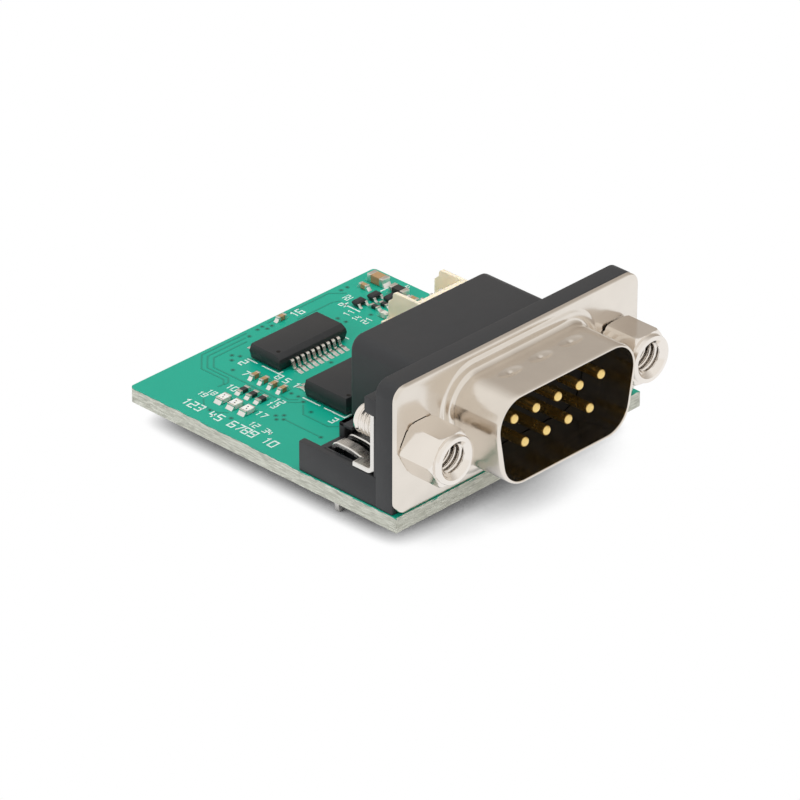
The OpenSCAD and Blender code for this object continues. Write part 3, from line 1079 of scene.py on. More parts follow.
@dataclass
class PlugShell:
    """Flange and drawn hood of the plug, one sheet of plated steel."""

    flange: Point2 = (30.8, 12.5)
    flange_radius: float = 1.3
    sheet: float = 0.45
    mouth: Point2 = (16.98, 8.42)
    mouth_radius: float = 2.6
    slope: float = 10.0
    reach: float = 5.85
    wall: float = 0.3
    rim: float = 0.12
    roll: Point2 = (0.17, 0.42)
    bead_width: float = 1.3
    bead_height: float = 0.2
    bead_steps: tuple[Point2, ...] = ((0.0, 0.0), (0.12, 0.12), (0.3, 0.6), (0.5, 0.95), (0.7, 1.0))
    root: float = 0.45
    edge: float = 0.1
    dimples: tuple[float, ...] = (-3.7, 0.15, 4.0)
    dimple_y: float = -2.45
    dimple_depth: float = 0.13
    dimple_size: Point2 = (1.35, 0.62)
    dimple_reach: Point2 = (0.05, -0.9)
    punch_depth: float = 0.16
    punch_size: Point2 = (0.34, 0.24)
    punch_shift: float = 0.12
    around: int = 400
    rows: int = 44

    def d_outline(self, offset: float) -> list[Point2]:
        """Draws the mouth, grown by an offset.

        Args:
            offset: How far outside the inner face of the mouth.

        Returns:
            The outline, anticlockwise seen from the front.
        """
        slope = math.radians(self.slope)
        radius = self.mouth_radius + offset
        upper = self.mouth[0] / 2 - self.mouth_radius
        z = self.mouth[1] / 2 - self.mouth_radius
        lower = upper - 2 * z * math.tan(slope)
        corners = [((upper, z), -self.slope, 90), ((-upper, z), 90, 180 + self.slope)]
        corners += [((-lower, -z), 180 + self.slope, 270), ((lower, -z), 270, 360 - self.slope)]
        return [p for centre, a, b in corners for p in arc(centre, radius, a, b, 14)]

    def profile(self) -> list[Point2]:
        """Draws the section of the sheet from the bead round the root, over the rim and back inside.

        Returns:
            Points as (offset from the mouth, distance in front of the flange).
        """
        wall, rim, root, bead = self.wall, self.rim, self.root, self.bead_height
        crown = [(wall + self.bead_width - inset, bead * share) for inset, share in self.bead_steps]
        hollow = arc((wall + root, bead + root), root, 270, 180, 8)
        straight = self.reach - self.roll[1] - bead - root
        outer = [(wall, bead + root + straight * i / self.rows) for i in range(1, self.rows)]
        across, along = self.roll
        lip = [
            (wall - across + across * math.cos(a), self.reach - along + along * math.sin(a))
            for a in (math.pi / 2 * i / 8 for i in range(9))
        ]
        lip += arc((rim, self.reach - rim), rim, 90, 180, 5)
        inner = [(0.0, self.reach - rim - straight * i / self.rows) for i in range(1, self.rows)]
        return crown + hollow + outer + lip + inner + [(0.0, -self.sheet)]

    def dented(self, point: Vector) -> Vector:
        """Presses the three dimples into the top of the hood, each with a punch mark at its middle.

        Args:
            point: A point of the hood.

        Returns:
            The point, lowered where a dimple is.
        """
        margin, behind = self.dimple_reach
        if point.z < self.mouth[1] / 2 - margin or point.y > behind:
            return point
        dent = 0.0
        for x in self.dimples:
            across, along = point.x - x, point.y - self.dimple_y
            far = math.hypot(across / self.dimple_size[0], along / self.dimple_size[1])
            if far < 1:
                front = 1.0 if along < 0 else 0.8
                dent += self.dimple_depth * (1 - far**2.2) ** (0.9 * front)
            near = math.hypot(across / self.punch_size[0], (along - self.punch_shift) / self.punch_size[1])
            if near < 1:
                dent += self.punch_depth * (1 - near) ** 0.8
        return point - Vector((0, 0, dent))

    def build(self, shop: Workshop) -> None:
        """Makes the shell.

        Args:
            shop: The shared finishes.
        """
        width, height = self.flange
        turn = self.edge * 0.35
        rings = []
        for inset, y in ((0.0, self.sheet), (0.0, self.edge), (turn, turn), (self.edge, 0.0)):
            outline = rounded_rectangle(width - 2 * inset, height - 2 * inset, self.flange_radius - inset)
            rings.append([Vector((a, y, b)) for a, b in resampled(outline, self.around)])
        for offset, ahead in self.profile():
            outline = resampled(self.d_outline(offset), self.around)
            rings.append([self.dented(Vector((a, -ahead, b))) for a, b in outline])
        piece = Piece("plug_shell_sheet").add(loft(rings, closed=True), shop.finish("nickel"))
        settle(piece.make(40), ["plug_shell"])


@dataclass
class PlugHousing:
    """Black moulding behind the shell: flange, rear box and the two arms."""

    flange: Point2 = (30.8, 12.5)
    flange_radius: float = 1.3
    front: float = 0.45
    back: float = 2.5
    box_half: float = 8.85
    box_back: float = 12.0
    box_top: float = 4.4
    box_radius: float = 1.3
    base: float = -6.25
    arm_top: float = -3.3
    arm_back: float = 11.9
    arm_wall: float = 0.8
    shelf_back: float = 9.87
    block_x: float = 12.4
    block_span: Point2 = (8.3, 9.9)
    block_top: float = -1.8
    slot_front: float = 5.9
    slot_back: float = 9.2
    strips: tuple[Point2, ...] = ((12.875, 14.475), (10.955, 12.555))
    clip: tuple[float, float, float, float] = (9.7, 15.3, 2.8, 2.66)
    lug: Point3 = (2.7, 4.3, 3.9)
    soft: float = 0.12
    crisp: float = 0.02
    step: float = 0.02
    sunk: float = 0.2
    overlap: float = 0.1

    def arm(self, side: Side) -> list[Form]:
        """Makes the forms of one arm.

        Args:
            side: Which arm.

        Returns:
            Its forms.
        """
        half = self.flange[0] / 2
        outer, inner = self.strips
        wall = half - self.arm_wall
        side_x, wall_x = self.box_half - self.sunk, wall + self.sunk
        front, floor = self.back - self.sunk, (self.base, self.arm_top)
        slot = (self.slot_front - self.overlap, self.slot_back + self.overlap)
        clip_x, clip_y, clip_z = self.clip[:2], self.clip[2], self.clip[3]
        above = self.arm_top - self.overlap
        spans = (
            ((wall, half - self.step), (front, self.arm_back), floor, self.soft),
            ((side_x, wall_x), (front, self.slot_front), floor, self.crisp),
            ((side_x, wall_x), (self.slot_back, self.shelf_back), floor, self.soft / 2),
            ((outer[1], wall_x), slot, floor, self.crisp),
            ((inner[1], outer[0]), slot, floor, self.crisp),
            ((side_x, inner[0]), slot, floor, self.crisp),
            (
                (side_x, self.block_x),
                (self.slot_back, self.block_span[1]),
                (self.arm_top - self.sunk, self.block_top),
                self.soft,
            ),
            ((side_x, self.block_x), self.block_span, (self.block_top - 0.4, self.block_top), self.soft),
            (clip_x, (front, clip_y), (above, clip_z), self.crisp),
            ((side_x, half - self.step), (front, self.lug[2]), self.lug[:2], self.soft),
            ((side_x, clip_x[0] - 0.15), (front, self.lug[2]), (above, self.lug[1]), 0.05),
        )
        forms = []
        for x_span, (y0, y1), (z0, z1), soft in spans:
            x0, x1 = sorted(x * side.value for x in x_span)
            forms.append(block((x0, y0, z0), (x1, y1, z1), soft))
        return forms

    def build(self, shop: Workshop) -> None:
        """Makes the housing.

        Args:
            shop: The shared finishes.
        """
        finish = shop.finish("housing")
        piece = Piece("plug_housing_moulding")
        half, high = (size / 2 for size in self.flange)
        flange = arched(half, -high, high, self.flange_radius, 10)
        piece.add(prism(flange, self.front, self.back, Axis.Y, 0.1, 3), finish)
        box = arched(self.box_half, self.base, self.box_top, self.box_radius, 12)
        piece.add(prism(box, self.back - 0.3, self.box_back, Axis.Y, 0.35, 4), finish)
        for side in Side:
            for form in self.arm(side):
                piece.add(form, finish)
        settle(piece.make(), ["plug_housing"])


@dataclass
class Contacts:
    """The nine pins with their tails, in an upper row of five and a lower row of four."""

    pitch: float = 2.77
    gap: float = 2.84
    radius: float = 0.5
    reach: float = 4.88
    tip: float = 0.36
    shaft_back: float = 5.0
    tail_radius: float = 0.35
    bend: float = 1.0
    tail_front: float = 7.2
    tail_end: float = -9.85
    blunt: float = 0.1
    steps: int = 28

    def model(self, z: float, tail_y: float, finish: Material) -> Piece:
        """Draws one contact at x = 0.

        Args:
            z: Height of its row.
            tail_y: Where its tail goes down.
            finish: Its finish.

        Returns:
            The piece.
        """
        rounding = arc((self.radius - self.tip, self.tip - self.reach), self.tip, 270, 360, 8)
        profile = [(TINY, -self.reach)] + [(r, y) for r, y in rounding]
        profile += [(self.radius, self.shaft_back), (self.tail_radius, self.shaft_back + 0.05)]
        rings = []
        for radius, y in profile:
            rings.append(self.ring(Vector((0, y, z)), radius, 0.0))
        for step in range(0, 9):
            angle = math.pi / 2 * step / 8
            y = tail_y - self.bend + self.bend * math.sin(angle)
            height = z - self.bend + self.bend * math.cos(angle)
            rings.append(self.ring(Vector((0, y, height)), self.tail_radius, angle))
        for narrower in (0.0, self.blunt):
            radius, height = self.tail_radius - narrower, self.tail_end + self.blunt - narrower
            rings.append(self.ring(Vector((0, tail_y, height)), radius, math.pi / 2))
        return Piece("contact_model").add(loft(rings), finish)

    def ring(self, centre: Vector, radius: float, turn: float) -> list[Vector]:
        """Draws the wire's section.

        Args:
            centre: Its centre.
            radius: Its radius.
            turn: How far the wire has turned from back to down, in radians.

        Returns:
            Points round the wire.
        """
        side = Vector((1, 0, 0))
        up = Vector((0, math.sin(turn), math.cos(turn)))
        return [
            centre + radius * (side * math.cos(a) + up * math.sin(a))
            for a in (2 * math.pi * i / self.steps for i in range(self.steps))
        ]

    def build(self, shop: Workshop) -> None:
        """Makes both rows.

        Args:
            shop: The shared finishes and trees.
        """
        rows = (
            ("upper_contacts", 5, 1, self.tail_front + self.gap, 1),
            ("lower_contacts", 4, -1, self.tail_front, 6),
        )
        for name, count, sign, tail_y, first in rows:
            model = self.model(sign * self.gap / 2, tail_y, shop.finish("gold"))
            start = (-(count - 1) / 2 * self.pitch, 0, 0)
            thing = shop.row(name, model, start, (self.pitch, 0, 0), count, "gold")
            settle(thing, [f"contact_{first + i}" for i in range(count)])


@dataclass
class Jackscrew:
    """Hexagonal standoff with a threaded hole in front and a threaded stud behind."""

    side: Side
    place: float = 12.495
    flats: float = 4.75
    length: float = 3.9
    nose: float = 0.5
    nose_radius: float = 2.28
    bevel: float = 0.3
    thread: float = 1.42
    pitch: float = 0.48
    depth: float = 0.2
    tapped: float = 1.62
    tapped_pitch: float = 0.6
    tapped_depth: float = 0.36
    mouth: float = 1.82
    hole: float = 4.0
    stud_back: float = 7.0
    neck: Point2 = (1.95, 0.09)
    run_out: float = 1.2
    dome: Point3 = (0.55, 0.87, 0.5)
    around: int = 96

    @property
    def middle(self) -> float:
        """Where its axis is along X."""
        return self.side.value * self.place

    def hexagon(self, radius: float, ahead: float) -> list[Vector]:
        """A ring that is a hexagon of full size, cut down to a circle of a radius.

        Args:
            radius: The circle's radius.
            ahead: Distance in front of the flange.

        Returns:
            Its points.
        """
        points = []
        for i in range(self.around):
            angle = 2 * math.pi * i / self.around
            local = (angle + math.pi / 6) % (math.pi / 3) - math.pi / 6
            apothem = self.flats / 2 / math.cos(math.pi / 6 - abs(local))
            r = min(apothem, radius)
            points.append(Vector((self.middle + r * math.cos(angle), -ahead, r * math.sin(angle))))
        return points

    def circle(self, radius: float, ahead: float) -> list[Vector]:
        """A round ring of a radius at a distance in front of the flange."""
        return self.hexagon(min(radius, self.flats / 2), ahead)

    @staticmethod
    def threaded(radius: float, pitch: float, inward: float, along: float, angle: float) -> float:
        """Radius of a thread at a place, cut inward from a radius in a soft wave."""
        wave = 0.5 - 0.5 * math.cos(2 * math.pi * along / pitch + angle)
        return radius - inward * wave

    def build(self, shop: Workshop) -> None:
        """Makes the jackscrew.

        Args:
            shop: The shared finishes.
        """
        corner = self.flats / 2 / math.cos(math.pi / 6)
        neck, gap = self.neck
        rings = [self.circle(neck, 0.0), self.circle(neck, gap), self.hexagon(self.flats / 2 + 0.1, gap)]
        rings += [self.hexagon(corner - 0.08, gap + 0.08), self.hexagon(corner, gap + 0.2)]
        rings += [self.hexagon(corner, self.length - self.bevel)]
        for i in range(1, 5):
            turn = math.pi / 2 * i / 4
            drop = self.bevel * (1 - math.cos(turn)) * 1.2
            rings.append(self.hexagon(corner - drop, self.length - self.bevel + self.bevel * math.sin(turn)))
        tip, nose = self.length + self.nose, self.nose_radius
        round_rings = (
            (nose + 0.02, self.length),
            (nose, self.length + 0.02),
            (nose, tip - 0.16),
            (nose - 0.05, tip - 0.05),
            (nose - 0.16, tip),
            (self.mouth, tip),
        )
        rings += [self.circle(radius, ahead) for radius, ahead in round_rings]
        rings += self.hole_rings(tip)
        form = loft(rings)
        piece = Piece(f"jackscrew_{self.side.word}_turned").add(form, shop.finish("screw"))
        piece.add(self.stud(), shop.finish("screw"))
        settle(piece.make(35), [f"jackscrew_{self.side.word}"])

    def hole_rings(self, tip: float) -> list[list[Vector]]:
        """Draws the threaded hole, from its mouth to its bottom.

        Args:
            tip: Distance of the nose's end from the flange.

        Returns:
            Its rings.
        """
        rings = []
        steps = 120
        for i in range(steps + 1):
            inside = 0.04 + (self.hole - 0.04) * i / steps
            ring = []
            for k in range(self.around):
                angle = 2 * math.pi * k / self.around
                wall = self.threaded(self.tapped, self.tapped_pitch, self.tapped_depth, inside, angle)
                radius = max(wall, self.mouth - inside)
                x = self.middle + radius * math.cos(angle)
                ring.append(Vector((x, inside - tip, radius * math.sin(angle))))
            rings.append(ring)
        end = [Vector((self.middle, self.hole + 0.4 - tip, 0.0))] * self.around
        return rings + [end]

    def stud(self) -> Form:
        """Makes the threaded stud behind the flange.

        Returns:
            The form.
        """
        steps = 220
        profile = [(TINY, 0.2)]
        for i in range(steps + 1):
            along = 0.2 + (self.stud_back - 0.2) * i / steps
            profile.append((self.thread, along))
        profile.append((TINY, self.stud_back))

        def flank(radius: float, along: float, angle: float) -> float:
            """Shapes the thread, which runs out into the domed end.

            Args:
                radius: Radius over the thread.
                along: Distance behind the flange's front.
                angle: Angle round the stud.

            Returns:
                The radius there.
            """
            if radius < 0.01:
                return radius
            flat, swell, length = self.dome
            left = self.stud_back - along
            dome = math.sqrt(max(0.0, 1 - (1 - min(1.0, left / length)) ** 2))
            depth = self.depth * min(1.0, left / self.run_out)
            return min(self.threaded(radius, self.pitch, depth, along, angle), flat + swell * dome)

        return turned(profile, (self.middle, 0, 0), Axis.Y, 64, flank)


@dataclass
class GroundClip:
    """Folded sheet behind the flange, with two strips that go down through the board."""

    side: Side
    sheet: float = 0.5
    edges: Point2 = (9.7, 15.3)
    front: float = 2.8
    top: float = 2.66
    base: float = -3.3
    foot_back: float = 5.35
    strips: tuple[Point2, ...] = ((13.075, 14.275), (11.155, 12.355))
    shifts: Point2 = (-0.12, -0.2)
    rise: float = 0.3
    rise_end: float = 7.0
    curl: float = 0.9
    back: float = 9.0
    prong: float = 0.8
    tail_end: float = -9.85
    board: Point2 = (-6.25, -7.75)
    soft: float = 0.09

    def bent_path(self) -> list[Point2]:
        """Draws the middle of the sheet, from the top of the plate to the end of the foot.

        Returns:
            Points in Y and Z.
        """
        half = self.sheet / 2
        inner = 0.35
        corner = (self.front + self.sheet + inner, self.base + self.sheet + inner)
        path = [(self.front + half, self.top)]
        path += arc(corner, inner + half, 180, 270, 8)
        return path + [(self.foot_back, self.base + half)]

    def strip_path(self) -> list[Point2]:
        """Draws the middle of a strip, from inside the foot over its rise to its prong.

        Returns:
            Points in Y and Z.
        """
        half = self.sheet / 2
        level = self.base + half
        top = level + self.rise
        start = self.foot_back - 0.4
        path = [(start, level)]
        for i in range(1, 7):
            t = i / 6
            ease = t * t * (3 - 2 * t)
            path.append((start + (self.rise_end - self.foot_back + 0.4) * t, level + self.rise * ease))
        centre = (self.back - self.curl, top - self.curl + half)
        path += arc(centre, self.curl - half, 90, 0, 10)
        return path

    def ribbon(self, path: Sequence[Point2], widths: Sequence[Point2]) -> Form:
        """Gives a middle line its thickness and its width along X.

        Args:
            path: The middle line in Y and Z.
            widths: The two X edges at each of its points.

        Returns:
            The form, with rounded edges.
        """
        sections = []
        half, soft = self.sheet / 2, self.soft
        for edges in widths:
            x0, x1 = sorted(x * self.side.value for x in edges)
            sections.append([
                (x0, half - soft), (x0 + soft, half), (x1 - soft, half), (x1, half - soft),
                (x1, soft - half), (x1 - soft, -half), (x0 + soft, -half), (x0, soft - half),
            ])
        return swept(path, sections)

    def build(self, shop: Workshop) -> None:
        """Makes the clip.

        Args:
            shop: The shared finishes.
        """
        finish = shop.finish("tin")
        upper, lower = self.board
        narrowing = (
            (upper + 0.4, 1.0),
            (lower - 0.5, 1.0),
            (lower - 1.2, 0.95),
            (self.tail_end + 0.25, 0.85),
            (self.tail_end, 0.5),
        )
        piece = Piece(f"ground_clip_{self.side.word}_sheet")
        path = self.bent_path()
        piece.add(self.ribbon(path, [self.edges] * len(path)), finish)
        for (low, high), shift in zip(self.strips, self.shifts):
            route = self.strip_path()
            widths = [(low, high)] * len(route)
            middle = (low + high) / 2 + shift
            half = self.prong / 2
            heights = [upper + 1.0] + [z for z, _ in narrowing]
            route += [(self.back - self.sheet / 2, z) for z in heights]
            widths += [(low, high)]
            widths += [(middle - half * share, middle + half * share) for _, share in narrowing]
            piece.add(self.ribbon(route, widths), finish)
        settle(piece.make(35), [f"ground_clip_{self.side.word}"])


# The board and what is soldered to it


DIGIT_STROKES: dict[str, tuple[tuple[Point2, ...], ...]] = {
    "0": (((0, 0), (0, 1), (0.6, 1), (0.6, 0), (0, 0)),),
    "1": (((0.1, 0.8), (0.35, 1), (0.35, 0)),),
    "2": (((0, 1), (0.6, 1), (0.6, 0.5), (0, 0.5), (0, 0), (0.6, 0)),),
    "3": (((0, 1), (0.6, 1), (0.6, 0), (0, 0)), ((0.15, 0.5), (0.6, 0.5))),
    "4": (((0, 1), (0, 0.4), (0.6, 0.4)), ((0.45, 0.8), (0.45, 0))),
    "5": (((0.6, 1), (0, 1), (0, 0.55), (0.6, 0.5), (0.6, 0), (0, 0)),),
    "6": (((0.6, 1), (0, 1), (0, 0), (0.6, 0), (0.6, 0.5), (0, 0.5)),),
    "7": (((0, 1), (0.6, 1), (0.25, 0)),),
    "8": (((0, 0), (0, 1), (0.6, 1), (0.6, 0), (0, 0)), ((0, 0.5), (0.6, 0.5))),
    "9": (((0, 0), (0.6, 0), (0.6, 1), (0, 1), (0, 0.5), (0.6, 0.5)),),
}
PRINTED_DIGITS: tuple[tuple[str, Point2, float, float], ...] = (
    ("123 45 6789 10", (-14.3, 27.9), 0.98, -90),
    ("12 34", (-12.9, 20.8), 0.68, -90),
    ("16", (4.1, 31.75), 0.85, 0),
    ("2", (-5.7, 29.3), 0.85, -90),
    ("7", (-6.95, 27.7), 0.8, -90),
    ("8", (-5.3, 25.1), 0.8, -90),
    ("5", (-5.3, 24.1), 0.8, -90),
    ("1", (-5.3, 22.9), 0.8, -90),
    ("10", (-9.6, 27.0), 0.75, -90),
    ("19", (-12.2, 28.0), 0.62, -90),
    ("18", (-11.4, 27.6), 0.62, -90),
    ("13", (-9.3, 22.2), 0.7, -90),
    ("12", (-8.4, 22.2), 0.7, -90),
    ("17", (-11.2, 21.7), 0.75, -90),
    ("3", (-7.5, 16.1), 0.85, -90),
    ("11", (7.5, 28.4), 0.7, 0),
    ("14", (7.4, 27.3), 0.6, 0),
    ("21", (7.6, 26.2), 0.7, 0),
    ("9", (8.5, 29.9), 0.7, 0),
    ("22", (9.6, 30.6), 0.6, 0),
    ("4", (15.0, 28.6), 0.7, -90),
)
PART_OUTLINES: tuple[tuple[Point2, ...], ...] = (
    ((-4.5, 29.3), (-4.5, 28.0)),
    ((-4.5, 27.4), (-4.5, 25.3), (-3.95, 25.3)),
    ((4.5, 25.3), (4.5, 29.3)),
    ((-6.05, 20.7), (-6.05, 18.5)),
    ((-6.05, 18.0), (-6.05, 15.45), (-5.1, 15.45)),
    ((13.0, 29.6), (15.1, 29.6)),
    ((8.9, 28.2), (8.9, 30.2), (9.4, 30.2)),
)
TRACKS: tuple[tuple[Point2, ...], ...] = (
    ((-1.2, 32.75), (-6.9, 32.75), (-8.7, 30.95), (-8.7, 28.1), (-9.3, 27.5), (-10.0, 27.5)),
    ((-1.9, 32.2), (-6.7, 32.2), (-8.2, 30.7), (-8.2, 28.0), (-8.8, 27.4), (-9.3, 27.4)),
    ((-2.3, 31.6), (-6.5, 31.6), (-7.75, 30.35), (-7.75, 21.2), (-6.7, 20.1)),
    ((-7.2, 22.4), (-7.2, 21.3), (-6.6, 20.7)),
    ((1.4, 32.75), (9.4, 32.75), (10.6, 31.6)),
    ((3.9, 31.3), (8.4, 31.3), (9.2, 30.9)),
    ((-12.4, 26.9), (-13.3, 25.9), (-13.3, 24.2), (-12.6, 23.5)),
    ((-7.0, 19.7), (-8.2, 18.5), (-8.2, 15.4), (-7.2, 14.4)),
    ((5.0, 24.6), (6.6, 23.0), (6.6, 17.0)),
    ((-10.0, 14.5), (-10.0, 18.9)),
)
VIAS: tuple[Point2, ...] = (
    (-5.05, 30.75), (-5.7, 30.1), (-4.65, 30.1), (-6.9, 28.75), (0.65, 32.6), (-0.05, 32.5), (0.7, 32.0),
    (1.4, 32.1), (-1.45, 32.15), (-10.05, 20.1), (-9.5, 19.6), (-10.5, 19.55), (-10.05, 19.1), (-6.25, 21.95),
    (-6.2, 21.1), (-6.6, 20.1), (-7.4, 18.3), (0.3, 23.4), (6.6, 28.8), (6.65, 27.8), (10.65, 32.35),
    (11.45, 32.35), (9.2, 27.1), (6.6, 17.0), (-13.45, 25.0), (-13.15, 22.6), (-10.0, 14.5), (5.0, 24.6),
    (-7.2, 14.4), (6.2, 19.4), (6.9, 15.2),
)


@dataclass
class BoardPrint:
    """White print, copper tracks under the lacquer and vias on the upper face, each via's hole a dark disc of
    painted shade.
    """

    top: float = -6.25
    line: float = 0.16
    pen: float = 0.15
    advance: float = 0.86
    track: float = 0.17
    print_height: float = 0.015
    track_height: float = 0.012
    via_ring: Point2 = (0.25, 0.02)
    # Radius and height of the dark disc of painted shade that stands for each via's hole.
    via_hole: Point2 = (0.13, 0.03)

    def stroke(self, points: Sequence[Point2], width: float, height: float) -> Form:
        """Lays a flat line of a width along points, with mitred bends.

        Args:
            points: The line's middle.
            width: Its width.
            height: How far it stands above the board.

        Returns:
            The form.
        """
        mesh = bmesh.new()
        left, right = [], []
        for i, point in enumerate(points):
            here = Vector(point)
            before = Vector(points[i - 1]) if i else None
            after = Vector(points[i + 1]) if i + 1 < len(points) else None
            steps = ((here - before) if before else None, (after - here) if after else None)
            ways = [step.normalized() for step in steps if step]
            mean = sum(ways, Vector((0, 0))).normalized()
            across = Vector((-mean.y, mean.x)) * (width / 2) / max(0.5, mean.dot(ways[0]))
            left.append(here + across)
            right.append(here - across)
        for first, second in zip(range(len(points) - 1), range(1, len(points))):
            corners = [left[first], left[second], right[second], right[first]]
            low = [mesh.verts.new((c.x, c.y, self.top - 0.01)) for c in corners]
            high = [mesh.verts.new((c.x, c.y, self.top + height)) for c in corners]
            mesh.faces.new(high)
            mesh.faces.new(reversed(low))
            for k in range(4):
                n = (k + 1) % 4
                mesh.faces.new((low[k], low[n], high[n], high[k]))
        bmesh.ops.recalc_face_normals(mesh, faces=mesh.faces)
        return mesh

    def digits(self, text: str, start: Point2, high: float, turn: float) -> list[list[Point2]]:
        """Lines of a row of plain digits.

        Args:
            text: The digits, with blanks between groups.
            start: Lower left corner of the first one.
            high: Height of a digit.
            turn: Direction of reading in degrees, from X anticlockwise.

        Returns:
            The lines, each as points.
        """
        along = Vector((math.cos(math.radians(turn)), math.sin(math.radians(turn)))) * high
        up = Vector((-along.y, along.x))
        lines = []
        for place, digit in enumerate(text):
            corner = Vector(start) + along * place * self.advance
            for line in DIGIT_STROKES.get(digit, ()):
                lines.append([tuple(corner + along * u + up * v) for u, v in line])
        return lines

    def build(self, shop: Workshop) -> None:
        """Makes the print, the tracks and the vias, whose holes get discs of painted shade.

        Args:
            shop: The shared finishes and trees.
        """
        silk = Piece("board_print")
        white = shop.finish("silk")
        for line in PART_OUTLINES:
            silk.add(self.stroke(line, self.line, self.print_height), white)
        for text, start, high, turn in PRINTED_DIGITS:
            for line in self.digits(text, start, high, turn):
                silk.add(self.stroke(line, high * self.pen, self.print_height), white)
        settle(silk.make())
        copper = Piece("board_tracks")
        for line in TRACKS:
            copper.add(self.stroke(line, self.track, self.track_height), shop.finish("track"))
        settle(copper.make())
        # Each via is a ring of track finish round a dark disc: painted shade where the hole is, not a real
        # recess.
        points = [(x, y, self.top) for x, y in VIAS]
        discs = [
            shop.discs.bake(name, points, Radius=radius * MM, Height=height * MM, Finish=shop.finish(finish))
            for name, (radius, height), finish in (
                ("via_rings", self.via_ring, "track"),
                ("via_holes", self.via_hole, "via"),
            )
        ]
        settle(joined("board_vias", discs))


@dataclass
class GullWingChip:
    """A chip with gull-wing leads along both long sides, and the solder under them."""

    name: str
    centre: Point2
    size: Point3
    count: int
    reach: float
    bevel: Point2
    top: float = -6.25
    gap: float = 0.1
    draft: float = 0.12
    pitch: float = 0.65
    lead_width: float = 0.34
    lead_sheet: float = 0.17
    lead_root: Point2 = (0.15, -0.12)
    lead_bend: float = 0.16
    dot: Point2 = (0.75, 0.45)
    dot_radius: float = 0.2

    def body(self) -> Form:
        """Makes the moulded body: two halves that taper away from the parting line.

        Returns:
            The form.
        """
        width, depth, height = self.size
        x, y = self.centre
        low, high = self.top + self.gap, self.top + height
        part = (low + high) / 2

        def ring(inset: float, cut: float, z: float) -> list[Vector]:
            """Four corners at a height, with the front ones cut back."""
            a, b = width / 2 - inset, depth / 2 - inset
            return [Vector((x + u, y + v, z)) for u, v in ((-a, cut - b), (a, cut - b), (a, b), (-a, b))]

        draft, (wide, deep) = self.draft, self.bevel
        rings = [ring(draft, 0, low), ring(0.0, 0, part - 0.03), ring(0.0, 0, part + 0.03)]
        if wide:
            rings.append(ring(draft * (1 - deep / (high - part)), 0, high - deep))
        rings.append(ring(draft, wide, high))
        return soften(loft(rings), 0.07, 2, 20)

    def lead(self) -> Form:
        """Makes one lead at the origin, going out along negative Y from the body's side.

        Returns:
            The form.
        """
        z = self.top + (self.gap + self.size[2]) / 2
        half, foot = self.lead_sheet / 2, self.top + 0.03 + self.lead_sheet / 2
        (inside, straight), bend = self.lead_root, self.lead_bend
        middle: list[Point2] = [(inside, z), (straight, z)]
        middle += arc((straight, z - bend), bend, 90, 165, 5)
        run = self.reach * 0.55
        middle += arc((-run - 0.02, foot + bend), bend, -15, -90, 5)
        middle += [(-self.reach, foot)]
        w = self.lead_width / 2
        section = ((-w, -half), (w, -half), (w, half), (-w, half))
        return soften(swept(middle, [section] * len(middle)), 0.025, 1, 40)

    def solder(self) -> Form:
        """Makes the pad and the solder that climbs the foot, at the origin.

        Returns:
            The form.
        """
        reach, outer, half = self.reach, self.reach + 0.5, self.lead_width * 0.62
        profile = [(-outer, 0.0), (-outer + 0.05, 0.05), (-reach - 0.12, 0.09), (-reach + 0.02, 0.2)]
        profile += [(-reach * 0.62, 0.16), (-reach * 0.5, 0.1), (-reach * 0.42, 0.0)]
        return prism([(y, self.top + z) for y, z in profile], -half, half, Axis.X, 0.03, 1)

    def build(self, shop: Workshop) -> None:
        """Makes the chip.

        Args:
            shop: The shared finishes and trees.
        """
        width, depth, height = self.size
        x, y = self.centre
        body = Piece(self.name + "_moulding").add(self.body(), shop.finish("resin"))
        dot = (x - width / 2 + self.dot[0], y - depth / 2 + self.bevel[0] + self.dot[1], self.top + height)
        radius, sunk, proud = self.dot_radius, -0.05, 0.006
        disc = [(TINY, sunk), (radius, sunk), (radius, proud), (TINY, proud)]
        body.add(turned(disc, dot, Axis.Z, 24), shop.finish("insert"))
        settle(body.make(24), [self.name + "_body"])
        start = x - (self.count - 1) / 2 * self.pitch
        things = []
        for sign in (-1, 1):
            for form, finish in ((self.lead(), "lead"), (self.solder(), "solder")):
                if sign > 0:
                    bmesh.ops.rotate(form, verts=form.verts, matrix=Matrix.Rotation(math.pi, 3, "Z"))
                model = Piece("lead_model").add(form, shop.finish(finish))
                things.append(
                    shop.row(
                        f"{self.name}_{finish}_{sign}",
                        model,
                        (start, y + sign * depth / 2, 0),
                        (self.pitch, 0, 0),
                        self.count,
                        finish,
                    )
                )
        settle(joined(self.name + "_gull_wings", things), [self.name + "_leads"])


